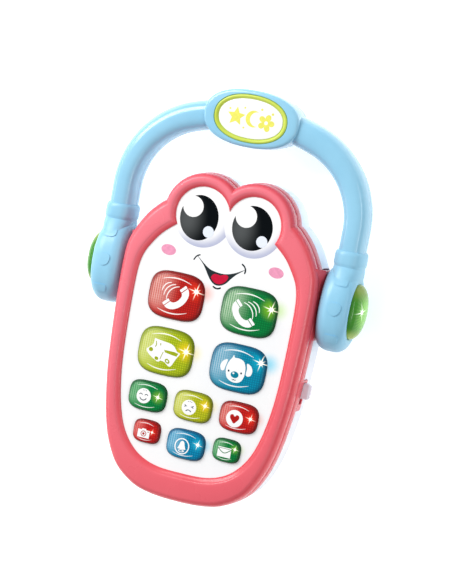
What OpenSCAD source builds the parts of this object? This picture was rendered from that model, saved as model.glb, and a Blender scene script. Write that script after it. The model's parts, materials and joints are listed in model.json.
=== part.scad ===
// Toy cell phone with a headphone-shaped carrying handle, lying on its back.
// X runs across the phone, Y towards its eyes and Z out of its face.

/* [Casing] */
// Thickness of the rear cover's walls
wall = 2; // [1.8:0.1:2.2]
// Thickness of the bezel's side wall
bezel_wall = 2.2; // [2:0.1:2.4]
// Radius of the two bumps over the eyes
eye_r = 20.3; // [20:0.1:20.6]
// How far the bezel's crown stands above the face panel
ridge_h = 2; // [1.6:0.1:2.4]

/* [Buttons] */
// Gap round each button in the face panel
button_gap = 0.35; // [0.3:0.05:0.5]
// How far a button stands above the face panel
button_proud = 2.2; // [1.9:0.1:2.4]
// Roundness of the buttons, where 2 is an oval and 5 nearly a rectangle
button_squareness = 3.3; // [2.8:0.1:4]

/* [Handle] */
// Width of the handle's tube, across its arch
tube_w = 13; // [12.6:0.1:13.2]
// Thickness of the handle's tube, from front to back
tube_t = 17; // [16:0.5:17]
// Wall of the handle's two halves
tube_wall = 1.8; // [1.6:0.1:2]
// Radial clearance of each pivot shaft in its bearing
pivot_clearance = 0.05; // [0.03:0.01:0.08]

/* [Batteries] */
// Radius of one cell
cell_r = 7.25; // [7.1:0.05:7.25]
// Length of one cell
cell_l = 50; // [49:0.1:50.4]

/* [Hidden] */
$fn = 64;
eps = 0.01;

// Heights above the back of the phone
parting_z = 18.8;
shelf_z = 27.8;
panel_z = 30;
panel_t = 2;
ridge_z = panel_z + ridge_h;
board_z = 19.6;
board_t = 1.6;
lead_top_z = board_z - 0.2;
membrane_z = board_z + board_t;
membrane_t = 1;
dome_z = membrane_z + 3;

// Outlines of the casing and of the window in the bezel: right half, from the lower end up
eye_x = 12.7;
eye_y = 36.8;
window_eye_r = 13.3;
rim_half = [[0, -99.6], [12.2, -99], [22.6, -96.5], [32.6, -89.6], [38.7, -80.1], [42.6, -69.3],
            [45.4, -55.1], [47.4, -38], [48.6, -14], [48.8, 6], [48.1, 17], [45.6, 24.1],
            [40.9, 32.4], [35.6, 38.4], [31.8, 41.4]];
window_half = [[0, -84.9], [11, -84.5], [18.9, -82.4], [25.5, -78.2], [31.2, -71],
               [35, -61.5], [37.7, -48.5], [39.1, -34], [39.7, -14], [39.6, 4],
               [38.2, 12.8], [35, 19], [30.5, 25], [24.3, 30.3]];
curve_steps = 4;

function whole(half) = concat([for (i = [len(half) - 1:-1:1]) [-half[i].x, half[i].y]], half);
function spline_point(a, b, c, d, t) =
    0.5 * (2 * b + (c - a) * t + (2 * a - 5 * b + 4 * c - d) * t * t
           + (3 * b - a - 3 * c + d) * t * t * t);
function spline(p, steps) =
    let (last = len(p) - 1)
    concat([for (i = [0:last - 1]) for (s = [0:steps - 1])
            spline_point(p[max(i - 1, 0)], p[i], p[i + 1], p[min(i + 2, last)], s / steps)],
           [p[last]]);
function unit(v) = v / norm(v);
function outward(p, i) =
    let (t = unit(p[min(i + 1, len(p) - 1)] - p[max(i - 1, 0)]))
    [t.y, -t.x];
function grown(p, d) = [for (i = [0:len(p) - 1]) p[i] + d * outward(p, i)];

rim_curve = spline(whole(rim_half), curve_steps);
window_curve = spline(whole(window_half), curve_steps);
bridge = [[eye_x, eye_y], [-eye_x, eye_y]];

// Pivot of the handle: a shaft along X on each side
hinge_y = 6;
hinge_z = 15;
shaft_r = 5;
bearing_r = shaft_r + pivot_clearance;
lug_x0 = 45.4;
lug_x1 = 48.9;
lug_y0 = -11;
lug_y1 = 23;
lug_z0 = 4;
lug_slope_z = 21.5;
cut_x0 = 42.5;
cut_x1 = 52;
clip_x = 43.9;
clip_t = 1;
groove_r = 4.1;
shaft_end_x = 42;
lead_r = 0.6;

// Ear cups, measured outwards from the pivot cover
cover_x = 49.3;
cup_x = 51.3;
cup_face_x = 64.4;
cup_ry = 20.5;
cup_rz = 14.6;
cup_wall = 2.2;
cup_round_x = 4;
seam_inset = 1.3;
cover_inset = 5;
lens_flange_t = 1.4;
lens_seat_t = 2.6;
pad_rise = 0.4;
pad_x0 = 3.6;
pad_x1 = 9.8;
ear_lamp_x = cup_face_x - 7;
ear_lamp_base_t = 1.4;
lens_ry = 13.2;
lens_rz = 11.2;
lens_tip_x = 69.6;
collar_y0 = 26.5;
collar_y1 = 33.6;
collar_w = 14.8;
collar_t = 18.8;

// Handle arch: straight legs, a corner arc on each side and a flatter top arc
leg_x = 57.8;
leg_top_y = 43;
corner_r = 40;
corner_x = leg_x - corner_r;
top_rise = 3;
top_offset = (corner_x * corner_x - top_rise * top_rise) / (2 * top_rise);
top_r = corner_r + top_offset + top_rise;
top_cy = leg_top_y - top_offset;
top_angle = atan2(corner_x, top_offset);
arch_y = top_cy + top_r;

// Badge on top of the arch
badge_y = 85;
badge_w = 47;
badge_h = 27;
badge_z = 25.4;
badge_edge = 1.2;
badge_back_inset = 0.6;
badge_back_t = 9;
ring_seat_t = 1.8;
ring_w = 36;
ring_h = 22.4;
plate_w = 31.6;
plate_h = 18.4;
badge_screw_x = 16;
screw_angle = 34;

// Battery bay and its door
bay_x = 29.4;
bay_y0 = -74.6;
bay_y1 = -41.4;
bay_top_z = 17.3;
bay_wall = 1.2;
door_x = 31;
door_y0 = -76;
door_y1 = -40;
door_z0 = 0.3;
door_z1 = 1.8;
door_gap = 0.3;
ledge_z0 = 2.1;
ledge_z1 = 3.6;
door_screw_y = -79.6;
door_screw_r = 1.2;
tab_x = 18;
tab_w = 8;
cell_z = 2.6 + cell_r;
cell_pitch = 15;
bay_cy = (bay_y0 + bay_y1) / 2;

// Fastener places
case_spots = [[39.5, 17], [-39.5, 17], [27, -82.5], [-27, -82.5]];
board_spots = [[0, 11], [31.5, -16.7], [-31.5, -16.7], [11.4, -61.6], [-11.4, -61.6]];
screw_r = 1.4;
head_r = 2.7;
counterbore_z = 11;

// Speaker behind the eyes
speaker_y = 24;
speaker_r = 14.5;

// Power switch on the right-hand side
knob_y = -35.5;
knob_z = 16;
knob_l = 7.5;
knob_h = 4;
knob_tip_x = 51.4;
knob_flange_x = 40.6;
knob_flange_t = 1.6;
knob_flange_half = 7.1;
lever_tip_x = 43.4;
knob_travel = 2.6;
knob_gap = 0.35;
slot_y0 = knob_y - knob_l / 2 - knob_travel - knob_gap;
slot_y1 = knob_y + knob_l / 2 + knob_gap;
tab_z0 = 12.5;
tab_y0 = slot_y0 - 3.2;
tab_y1 = slot_y1 + 1.1;
switch_y = knob_y - knob_travel / 2;
fit_gap = 0.2;

// Screw bosses in the bezel and in the rear cover
boss_r = 3.4;
post_r = 3.6;

// Push buttons: a hollow cap on a flange, with a stem down to its rubber dome
button_flange = 1.1;
button_top_t = 1.2;
button_edge = 0.8;
button_wall = 1.3;
stem_r = 1.9;
stem_z = dome_z + 0.15;

// Buttons: place across and along the face, width, height, colour
end_call_spec = [-18.2, -3.2, 27, 22, "firebrick"];
call_spec = [18.3, -3.2, 27, 22, "seagreen"];
car_spec = [-18.2, -30.1, 27, 22, "yellowgreen"];
dog_spec = [18.2, -30.1, 27, 22, "steelblue"];
smile_spec = [-23, -52.6, 18.6, 13.8, "seagreen"];
sad_spec = [0, -52.6, 18.6, 13.8, "gold"];
heart_spec = [23, -52.6, 18.6, 13.8, "firebrick"];
camera_spec = [-20.2, -69.2, 13.2, 10.6, "firebrick"];
bell_spec = [0, -71, 18.6, 13.6, "steelblue"];
mail_spec = [20.2, -69.2, 13.2, 10.6, "seagreen"];
button_specs = [end_call_spec, call_spec, car_spec, dog_spec, smile_spec, sad_spec,
                heart_spec, camera_spec, bell_spec, mail_spec];

module case_outline(grow) {
    polygon(concat(grown(rim_curve, grow), bridge));
    for (side = [-1, 1]) translate([side * eye_x, eye_y]) circle(r = eye_r + grow);
}

module window_outline(grow) {
    polygon(concat(grown(window_curve, grow), bridge));
    for (side = [-1, 1]) translate([side * eye_x, eye_y]) circle(r = window_eye_r + grow);
}

// Extrudes a flat outline from one height to another
module layer(z0, z1) {
    translate([0, 0, z0]) linear_extrude(z1 - z0) children();
}

// Box given by its two opposite corners
module block(low, high) {
    translate(low) cube(high - low);
}

// Superellipse of a given width and height
module rounded_shape(w, h, n, points = 48) {
    polygon([for (i = [0:points - 1])
             let (a = 360 * i / points, c = cos(a), s = sin(a))
             [w / 2 * sign(c) * pow(abs(c), 2 / n), h / 2 * sign(s) * pow(abs(s), 2 / n)]]);
}

// Cylinder along X between two stations, on the handle's pivot axis
module pivot_round(x0, x1, r) {
    translate([x0, hinge_y, hinge_z]) rotate([0, 90, 0]) cylinder(r = r, h = x1 - x0);
}

// Insulated wire swept along hand-picked points
module wire(route, r = lead_r, sides = 8) {
    path = spline(route, 3);
    last = len(path) - 1;
    rings = [for (i = [0:last])
             let (t = unit(path[min(i + 1, last)] - path[max(i - 1, 0)]),
                  side = unit(cross(t, abs(t.z) > 0.9 ? [0, 1, 0] : [0, 0, 1])),
                  up = cross(side, t))
             for (k = [0:sides - 1])
             path[i] + r * (cos(360 * k / sides) * side + sin(360 * k / sides) * up)];
    skin = [for (i = [0:last - 1]) for (k = [0:sides - 1])
            let (n = (k + 1) % sides, a = i * sides, b = a + sides)
            [a + k, a + n, b + n, b + k]];
    near_cap = [[for (k = [sides - 1:-1:0]) k]];
    far_cap = [[for (k = [0:sides - 1]) last * sides + k]];
    polyhedron(rings, concat(skin, near_cap, far_cap));
}

// Cross-head screw standing on its head, with the shank pointing up
module screw(length, r, head, head_h) {
    difference() {
        union() {
            cylinder(r = head, h = head_h);
            cylinder(r = r, h = head_h + length);
        }
        for (a = [0, 90]) rotate([0, 0, a])
            block([-head * 0.65, -0.35, -eps], [head * 0.65, 0.35, head_h * 0.55]);
    }
}

/* ---- casing ---- */

// Bearing block inside the bezel's side, with its outer front edge sloped off
module hinge_lug() {
    translate([0, lug_y1, 0]) rotate([90, 0, 0]) linear_extrude(lug_y1 - lug_y0)
        polygon([[lug_x0, lug_z0], [lug_x1, lug_z0], [lug_x1, lug_slope_z],
                 [lug_x0 + 0.6, shelf_z], [lug_x0, shelf_z]]);
}

// Opening for the power knob, in the tab below the bezel's edge
module knob_slot() {
    block([cut_x0, slot_y0, knob_z - knob_h / 2 - 0.3],
          [cut_x1, slot_y1, knob_z + knob_h / 2 + 0.3]);
}

// Tab of the bezel's side wall that frames the power knob
module switch_tab() {
    intersection() {
        layer(tab_z0, parting_z + eps) difference() {
            case_outline(0);
            case_outline(-bezel_wall);
        }
        block([cut_x0, tab_y0, 0], [cut_x1, tab_y1, panel_z]);
    }
}

module front_bezel() {
    color("lightcoral") difference() {
        union() {
            layer(parting_z, shelf_z) difference() {
                case_outline(0);
                case_outline(-bezel_wall);
            }
            layer(shelf_z, panel_z) difference() {
                case_outline(0);
                window_outline(2);
            }
            layer(panel_z, panel_z + ridge_h / 2) difference() {
                case_outline(-0.5);
                window_outline(0);
            }
            layer(panel_z + ridge_h / 2, ridge_z) difference() {
                case_outline(-2.3);
                window_outline(1.2);
            }
            for (side = [0, 1]) mirror([side, 0, 0]) hinge_lug();
            switch_tab();
            for (p = case_spots) translate([p.x, p.y, parting_z])
                cylinder(r = boss_r, h = shelf_z - parting_z + 0.1);
        }
        knob_slot();
        for (side = [0, 1]) mirror([side, 0, 0]) pivot_round(lug_x0 - 1, lug_x1 + 1, bearing_r);
        for (p = case_spots) translate([p.x, p.y, parting_z - 1])
            cylinder(r = screw_r, h = 8);
    }
}

module face_panel() {
    color("white") difference() {
        union() {
            layer(panel_z - panel_t, panel_z) window_outline(1.8);
            for (p = board_spots) translate([p.x, p.y, membrane_z])
                cylinder(r = 2, h = panel_z - panel_t - membrane_z + eps);
        }
        for (b = button_specs) translate([b.x, b.y])
            layer(panel_z - panel_t - 1, panel_z + 1)
                rounded_shape(b[2] + 2 * button_gap, b[3] + 2 * button_gap, button_squareness);
        for (p = board_spots) translate([p.x, p.y, membrane_z - 1]) cylinder(r = 0.9, h = 6);
    }
}

module battery_bay() {
    block([-bay_x - bay_wall, bay_y0 - bay_wall, wall - eps],
          [bay_x + bay_wall, bay_y1 + bay_wall, bay_top_z + 0.8]);
    block([-door_x - 1.6, door_y0 - 1.6, wall - eps], [door_x + 1.6, door_y1 + 1.6, ledge_z1]);
    translate([0, door_screw_y, wall - eps]) cylinder(r = 6.2, h = ledge_z1 - wall);
    translate([0, door_screw_y, wall - eps]) cylinder(r = boss_r, h = 8);
}

module door_outline(grow) {
    translate([-door_x - grow, door_y0 - grow])
        square([2 * (door_x + grow), door_y1 - door_y0 + 2 * grow]);
    translate([0, door_screw_y]) circle(r = 4.4 + grow);
}

module speaker_grille() {
    hole_r = 1.1;
    translate([0, speaker_y, -1]) {
        cylinder(r = hole_r, h = wall + 2);
        for (ring = [1:2]) for (k = [0:6 * ring - 1]) rotate([0, 0, 360 * k / (6 * ring)])
            translate([4.2 * ring, 0, 0]) cylinder(r = hole_r, h = wall + 2);
    }
}

module rear_cover() {
    color("ghostwhite") difference() {
        union() {
            difference() {
                union() {
                    layer(0, 1.4) case_outline(-3.6);
                    layer(1.4, 3.6) case_outline(-1.6);
                    layer(3.6, parting_z) case_outline(-0.5);
                }
                layer(wall, 5) case_outline(-4.6);
                layer(5 - eps, parting_z + 1) case_outline(-0.5 - wall);
                for (side = [0, 1]) mirror([side, 0, 0])
                    block([cut_x0, lug_y0 - fit_gap, lug_z0 - fit_gap],
                          [cut_x1, lug_y1 + fit_gap, parting_z + 1]);
                block([cut_x0, tab_y0 - fit_gap, tab_z0 - fit_gap],
                      [cut_x1, tab_y1 + fit_gap, parting_z + 1]);
            }
            battery_bay();
            for (p = case_spots) translate([p.x, p.y, wall - eps])
                cylinder(r = post_r, h = parting_z - wall + eps);
            translate([0, speaker_y, wall - eps]) difference() {
                cylinder(r = speaker_r + 1.4, h = 4);
                translate([0, 0, -1]) cylinder(r = speaker_r + 0.1, h = 6);
            }
        }
        block([-bay_x, bay_y0, -1], [bay_x, bay_y1, bay_top_z]);
        layer(-1, ledge_z0) door_outline(door_gap);
        for (side = [-1, 1]) translate([side * tab_x, 0, 0])
            block([-tab_w / 2 - 0.4, bay_y1 - 1, ledge_z1], [tab_w / 2 + 0.4, door_y1 + 3, 7]);
        translate([0, door_screw_y, -1]) cylinder(r = door_screw_r + 0.5, h = 8);
        for (p = case_spots) translate([p.x, p.y, -1]) {
            cylinder(r = head_r + 0.2, h = counterbore_z + 1);
            cylinder(r = screw_r + 0.2, h = parting_z + 2);
        }
        speaker_grille();
    }
}

module battery_door() {
    color("ghostwhite") difference() {
        union() {
            layer(door_z0, door_z1) door_outline(0);
            block([-24, bay_cy - 0.8, door_z1 - eps], [24, bay_cy + 0.8, 4]);
            for (side = [-1, 1]) translate([side * tab_x, 0, 0]) {
                block([-tab_w / 2, bay_y1 - 1.6, door_z1 - eps], [tab_w / 2, bay_y1 - 0.4, 5.4]);
                block([-tab_w / 2, bay_y1 - 1.6, 4.2], [tab_w / 2, door_y1 + 2, 5.4]);
            }
        }
        translate([0, door_screw_y, -1]) cylinder(r = 2.7, h = 2);
        translate([0, door_screw_y, -1]) cylinder(r = door_screw_r + 0.1, h = 5);
        for (k = [0:4]) translate([0, door_y0 + 5 + 2.4 * k, door_z0 - 1])
            block([-9, -0.5, 0], [9, 0.5, 1.5]);
    }
}

module battery_door_screw() {
    color("silver") translate([0, door_screw_y, door_z0 + 0.1])
        difference() {
            union() {
                cylinder(r = 2.5, h = 0.6);
                cylinder(r = door_screw_r, h = 4.4);
                translate([0, 0, door_z1 - door_z0]) cylinder(r = 1.6, h = 0.2);
            }
            for (a = [0, 90]) rotate([0, 0, a]) block([-1.6, -0.3, -1], [1.6, 0.3, 0.4]);
        }
}

module case_screws() {
    color("silver") for (p = case_spots) translate([p.x, p.y, counterbore_z - 1.8])
        screw(parting_z + 6 - counterbore_z, screw_r, head_r, 1.8);
}

/* ---- electronics ---- */

module board_outline() {
    polygon([[-34, 14], [-34, -56], [-21.5, -79.5], [21.5, -79.5], [34, -56], [34, 14]]);
}

module circuit_board() {
    color("seagreen") difference() {
        layer(board_z, board_z + board_t) board_outline();
        for (p = board_spots) translate([p.x, p.y, board_z - 1]) cylinder(r = 0.9, h = 4);
    }
}

module board_screws() {
    color("silver") for (p = board_spots) translate([p.x, p.y, board_z - 1.2])
        screw(board_t + 4.5, 0.9, 1.9, 1.2);
}

module sound_chip() {
    color("dimgray") {
        translate([-14, -12, board_z - 1.4]) cylinder(r1 = 5, r2 = 6, h = 1.4);
        for (x = [4, 12, 20]) block([x, -8, board_z - 1.3], [x + 5, -5, board_z]);
    }
}

function lamp_x(spec) = spec.x + max(0.32 * spec[2], 5.8);

module board_lamps() {
    color("white") for (b = button_specs) translate([lamp_x(b), b.y, membrane_z])
        block([-1.4, -1.4, 0], [1.4, 1.4, 1.2]);
}

module dome() {
    rotate_extrude() polygon([[0, 1.2], [1.6, 1.2], [1.6, 1.9], [2.1, 1.9], [3.1, 0],
                              [3.9, 0], [2.8, 3], [0, 3]]);
}

module button_membrane() {
    color("lightgray") {
        difference() {
            layer(membrane_z, membrane_z + membrane_t) intersection() {
                board_outline();
                translate([-33, -79]) square([66, 92]);
            }
            for (b = button_specs) translate([b.x, b.y, membrane_z - 1]) cylinder(r = 3.1, h = 4);
            for (b = button_specs) translate([lamp_x(b), b.y, membrane_z])
                block([-1.7, -1.7, -1], [1.7, 1.7, 3]);
            for (p = board_spots) translate([p.x, p.y, membrane_z - 1]) cylinder(r = 2.2, h = 4);
        }
        for (b = button_specs) translate([b.x, b.y, membrane_z]) dome();
    }
}

module speaker() {
    color("dimgray") translate([0, speaker_y, wall]) rotate_extrude()
        polygon([[0, 2.4], [3.4, 2.4], [4.2, 1.2], [10.6, 3], [11.6, 1.4], [12.4, 0.4],
                 [speaker_r, 0.4], [speaker_r, 2.2], [12.6, 3.4], [8.4, 5.2], [8.4, 8.2],
                 [0, 8.2]]);
}

module speaker_leads() {
    route = [[5, 15, 7.2], [6.2, 12, 9.4], [5.6, 8, 13], [4.6, 6.4, 17], [4.6, 6.2, lead_top_z]];
    color("crimson") wire(route);
    color("black") mirror([1, 0, 0]) wire(route);
}

module batteries() {
    color("goldenrod") for (row = [-1, 1])
        translate([0, bay_cy + row * cell_pitch / 2, cell_z]) rotate([0, row * 90, 0]) {
            translate([0, 0, -cell_l / 2]) cylinder(r = cell_r, h = cell_l - 1);
            translate([0, 0, cell_l / 2 - 1 - eps]) cylinder(r = 2.7, h = 1);
        }
}

module battery_springs() {
    color("silver") for (row = [-1, 1])
        translate([-row * (cell_l / 2), bay_cy + row * cell_pitch / 2, cell_z])
            rotate([0, -row * 90, 0]) difference() {
                cylinder(r1 = 3, r2 = 4.6, h = bay_x - cell_l / 2 - 0.4);
                translate([0, 0, -1]) cylinder(r1 = 1.8, r2 = 3.6, h = bay_x - cell_l / 2 + 2);
            }
}

module battery_contacts() {
    color("silver") for (side = [-1, 1])
        block([side * bay_x - (side > 0 ? 0.4 : 0), bay_y0 + 3, 5],
              [side * bay_x + (side > 0 ? 0 : 0.4), bay_y1 - 3, 15]);
    color("silver") for (row = [-1, 1])
        translate([row * (cell_l / 2 - eps), bay_cy + row * cell_pitch / 2, cell_z])
            rotate([0, row * 90, 0]) cylinder(r1 = 2.4, r2 = 3.4, h = bay_x - cell_l / 2 - 0.4 + eps);
}

module battery_leads() {
    x0 = bay_x + bay_wall + lead_r + 0.1;
    route = [[x0, -46, 8], [x0 + 0.6, -44, 12], [x0 + 0.4, -42, 16], [x0 + 0.4, -41.8, lead_top_z]];
    color("crimson") wire(route);
    color("black") mirror([1, 0, 0]) wire(route);
}

module slide_switch() {
    color("silver") difference() {
        block([33.2, switch_y - 5.4, knob_z - 2.6], [40, switch_y + 5.4, board_z]);
        block([38, switch_y - 3.2, knob_z - 1.4], [41, switch_y + 3.2, knob_z + 1.4]);
    }
}

module lever_shape(x0) {
    block([x0, knob_y - 1, knob_z - 1], [lever_tip_x, knob_y + 1, knob_z + 1]);
}

module switch_lever() {
    color("black") lever_shape(38.6);
}

module power_knob() {
    neck_x = knob_flange_x + knob_flange_t;
    color("thistle") difference() {
        union() {
            block([knob_flange_x, knob_y - knob_flange_half, knob_z - knob_h / 2 - 0.6],
                  [neck_x, knob_y + knob_flange_half, knob_z + knob_h / 2 + 0.6]);
            translate([neck_x - eps, knob_y, knob_z]) rotate([90, 0, 90])
                linear_extrude(knob_tip_x - neck_x - 0.8) rounded_shape(knob_l, knob_h, 4, 32);
            translate([neck_x, knob_y, knob_z]) rotate([90, 0, 90])
                linear_extrude(knob_tip_x - neck_x) rounded_shape(knob_l - 1.6, knob_h - 1.2, 4, 32);
        }
        lever_shape(knob_flange_x - 0.6);
    }
}

/* ---- buttons ---- */

module push_button(spec) {
    w = spec[2];
    h = spec[3];
    n = button_squareness;
    top_z = panel_z + button_proud;
    flange_z = panel_z - panel_t - 0.3;
    translate([spec.x, spec.y]) color(spec[4]) {
        difference() {
            union() {
                layer(flange_z - button_top_t, flange_z)
                    rounded_shape(w + 2 * button_flange, h + 2 * button_flange, n);
                layer(flange_z - eps, top_z - button_edge) rounded_shape(w, h, n);
                layer(top_z - button_edge, top_z)
                    rounded_shape(w - 2 * button_edge, h - 2 * button_edge, n);
            }
            difference() {
                layer(flange_z - 2, top_z - button_top_t)
                    rounded_shape(w - 2 * button_wall, h - 2 * button_wall, n);
                translate([0, 0, stem_z]) cylinder(r = stem_r, h = 8);
            }
        }
        translate([0, 0, stem_z]) cylinder(r = stem_r, h = top_z - button_top_t - stem_z + eps);
    }
}

module end_call_button() { push_button(end_call_spec); }
module call_button() { push_button(call_spec); }
module car_button() { push_button(car_spec); }
module dog_button() { push_button(dog_spec); }
module smile_button() { push_button(smile_spec); }
module sad_button() { push_button(sad_spec); }
module heart_button() { push_button(heart_spec); }
module camera_button() { push_button(camera_spec); }
module bell_button() { push_button(bell_spec); }
module mail_button() { push_button(mail_spec); }

/* ---- handle ---- */

// Half section of the tube: x runs across the arch, y towards the front
function half_section(w, t, flip) =
    [for (i = [0:12]) let (a = 180 * i / 12, c = cos(a), s = sin(a))
     [w / 2 * sign(c) * pow(abs(c), 0.85), flip * t / 2 * pow(abs(s), 0.85)]];

// Half of the arch's tube for a section of the given width and thickness
module arch_half(w, t, flip) {
    section = half_section(w, t, flip);
    for (side = [0, 1]) mirror([side, 0, 0]) translate([0, 0, hinge_z]) {
        translate([leg_x, collar_y0 + 1, 0]) rotate([90, 0, 180])
            linear_extrude(leg_top_y - collar_y0 - 1) mirror([1, 0]) polygon(section);
        translate([corner_x, leg_top_y, 0]) rotate_extrude(angle = 90 - top_angle, $fn = 96)
            translate([corner_r, 0]) polygon(section);
        translate([0, top_cy, 0]) rotate([0, 0, 90 - top_angle])
            rotate_extrude(angle = top_angle, $fn = 160) translate([top_r, 0]) polygon(section);
    }
}

module badge_shape(grow) {
    translate([0, badge_y]) rounded_shape(badge_w + 2 * grow, badge_h + 2 * grow, 2.3, 64);
}

// Bulkhead inside the tube, where the corner arc meets the top arc
module tube_rib(flip) {
    for (side = [0, 1]) mirror([side, 0, 0])
        translate([corner_x, leg_top_y, hinge_z]) rotate([0, 0, 90 - top_angle])
            translate([corner_r, 0.7, 0]) rotate([90, 0, 0]) linear_extrude(1.4)
                polygon(half_section(tube_w - tube_wall, tube_t - tube_wall, flip));
}

module handle_screw_places() {
    for (side = [0, 1]) mirror([side, 0, 0]) {
        translate([corner_x + corner_r * cos(screw_angle), leg_top_y + corner_r * sin(screw_angle), 0])
            children();
        translate([badge_screw_x, badge_y, 0]) children();
    }
}

module handle_posts(z0, z1) {
    handle_screw_places() translate([0, 0, z0]) cylinder(r = 2.3, h = z1 - z0);
}

module handle_front() {
    color("skyblue") difference() {
        union() {
            difference() {
                union() {
                    arch_half(tube_w, tube_t, 1);
                    layer(hinge_z, badge_z - badge_edge) badge_shape(0);
                    layer(badge_z - badge_edge, badge_z) badge_shape(-1);
                }
                arch_half(tube_w - 2 * tube_wall, tube_t - 2 * tube_wall, 1);
                layer(hinge_z - 1, badge_z - 4) badge_shape(-tube_wall);
            }
            tube_rib(1);
            intersection() {
                handle_posts(hinge_z, badge_z - 3);
                union() {
                    arch_half(tube_w - 1, tube_t - 1, 1);
                    layer(hinge_z, badge_z - 3) badge_shape(-1);
                }
            }
        }
        layer(badge_z - ring_seat_t, badge_z + 1) translate([0, badge_y])
            rounded_shape(ring_w, ring_h, 2.2, 64);
        handle_screw_places() translate([0, 0, hinge_z - 1]) cylinder(r = 1, h = 5);
    }
}

module handle_rear() {
    color("skyblue") difference() {
        union() {
            difference() {
                union() {
                    arch_half(tube_w, tube_t, -1);
                    layer(hinge_z - badge_back_t, hinge_z) badge_shape(-badge_back_inset);
                }
                arch_half(tube_w - 2 * tube_wall, tube_t - 2 * tube_wall, -1);
                layer(hinge_z - badge_back_t + tube_wall, hinge_z + 1)
                    badge_shape(-badge_back_inset - tube_wall);
            }
            tube_rib(-1);
            intersection() {
                handle_posts(hinge_z - badge_back_t + 0.2, hinge_z);
                union() {
                    arch_half(tube_w - 1, tube_t - 1, -1);
                    layer(hinge_z - badge_back_t + 0.2, hinge_z) badge_shape(-1);
                }
            }
        }
        handle_screw_places() {
            translate([0, 0, hinge_z - 20]) cylinder(r = 1.9, h = 16);
            translate([0, 0, hinge_z - 5]) cylinder(r = 1.15, h = 6);
        }
    }
}

module handle_screws() {
    color("silver") handle_screw_places() translate([0, 0, hinge_z - 5.3]) screw(8, 1, 1.8, 1.3);
}

module badge_ring() {
    color("yellowgreen") translate([0, badge_y]) layer(badge_z - ring_seat_t, badge_z + 0.4) difference() {
        rounded_shape(ring_w, ring_h, 2.2, 64);
        rounded_shape(plate_w, plate_h, 2.2, 64);
    }
}

module badge_plate() {
    color("white") translate([0, badge_y]) layer(badge_z - ring_seat_t, badge_z + 0.1)
        rounded_shape(plate_w, plate_h, 2.2, 64);
}

/* ---- ear cups ---- */

// Oval slab square to X
module oval(x0, x1, ry, rz) {
    translate([x0, hinge_y, hinge_z]) rotate([90, 0, 90]) linear_extrude(x1 - x0)
        rounded_shape(2 * ry, 2 * rz, 2.15, 56);
}

// Tube section square to Y
module collar_block(y0, y1, w, t) {
    translate([leg_x, y1, hinge_z]) rotate([90, 0, 0]) linear_extrude(y1 - y0)
        rounded_shape(w, t, 2.4, 40);
}

// Shell of the cup between two stations, smaller at each by an inset
module cup_step(x0, inset0, x1, inset1) {
    hull() {
        oval(x0 - eps, x0 + 0.1, cup_ry - inset0, cup_rz - inset0);
        oval(x1 - 0.1, x1, cup_ry - inset1, cup_rz - inset1);
    }
}

// Low raised mark on the front of the cup
module cup_pad(y0, y1) {
    intersection() {
        oval(cup_x + pad_x0, cup_x + pad_x1, cup_ry + pad_rise, cup_rz + pad_rise);
        block([cup_x, hinge_y + y0, hinge_z], [cup_face_x, hinge_y + y1, hinge_z + cup_rz + 1]);
    }
}

module ear_cup() {
    round_x = cup_x + cup_round_x;
    difference() {
        union() {
            cup_step(cup_x + eps, seam_inset, round_x, 0);
            oval(round_x - 0.1, cup_face_x - 5, cup_ry, cup_rz);
            cup_step(cup_face_x - 5, 0, cup_face_x - 2, 1.2);
            cup_step(cup_face_x - 2, 1.2, cup_face_x, 2.7);
            hull() {
                oval(cup_x + 3, cup_x + 10, cup_ry - 8, cup_rz - 1);
                collar_block(collar_y0 - 1.2, collar_y0, collar_w - 1.6, collar_t - 1.8);
            }
            collar_block(collar_y0 - eps, collar_y1, collar_w, collar_t);
            cup_pad(11.6, 15.6);
            cup_pad(-2.6, 3.6);
            cup_pad(-15.4, -11.8);
        }
        oval(cover_x - 1, cup_x, cup_ry - 0.1, cup_rz + 0.1);
        oval(cup_x - 1, cup_face_x - lens_seat_t, cup_ry - cup_wall, cup_rz - cup_wall);
        oval(cup_x, cup_face_x + 1, lens_ry + 0.02, lens_rz + 0.02);
        collar_block(collar_y0 + 1, collar_y1 + 1, tube_w, tube_t);
        collar_block(hinge_y + cup_ry - 4, collar_y1, tube_w - 2 * tube_wall, tube_t - 2 * tube_wall);
    }
}

module ear_cover() {
    difference() {
        union() {
            hull() {
                oval(cover_x, cover_x + 0.1, cup_ry - cover_inset, cup_rz - cover_inset);
                oval(cup_x - 0.9, cup_x - 0.8, cup_ry - seam_inset - 1, cup_rz - seam_inset - 1);
                oval(cup_x - 0.1, cup_x, cup_ry - seam_inset, cup_rz - seam_inset);
            }
            oval(cup_x - eps, cup_x + 1.6, cup_ry - cup_wall, cup_rz - cup_wall);
            pivot_round(shaft_end_x, cover_x + eps, shaft_r);
        }
        pivot_round(shaft_end_x - 1, cup_x + 3, 1.9);
        difference() {
            pivot_round(clip_x, clip_x + clip_t, shaft_r + 1);
            pivot_round(clip_x - 1, clip_x + clip_t + 1, groove_r);
        }
    }
}

module ear_lens() {
    hull() {
        oval(cup_face_x - lens_seat_t, cup_face_x, lens_ry, lens_rz);
        oval(cup_face_x, lens_tip_x - 1.2, lens_ry - 2.6, lens_rz - 2.2);
        oval(cup_face_x, lens_tip_x, lens_ry - 7, lens_rz - 6);
    }
    oval(cup_face_x - lens_seat_t - lens_flange_t, cup_face_x - lens_seat_t,
         lens_ry + 1.6, lens_rz + 0.6);
}

module ear_lamp() {
    pivot_round(ear_lamp_x, ear_lamp_x + ear_lamp_base_t, 6);
    pivot_round(ear_lamp_x + ear_lamp_base_t - eps, ear_lamp_x + 2.4, 1.6);
}

module pivot_clip() {
    difference() {
        pivot_round(clip_x, clip_x + clip_t, 7.4);
        pivot_round(clip_x - 1, clip_x + clip_t + 1, groove_r);
    }
}

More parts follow.
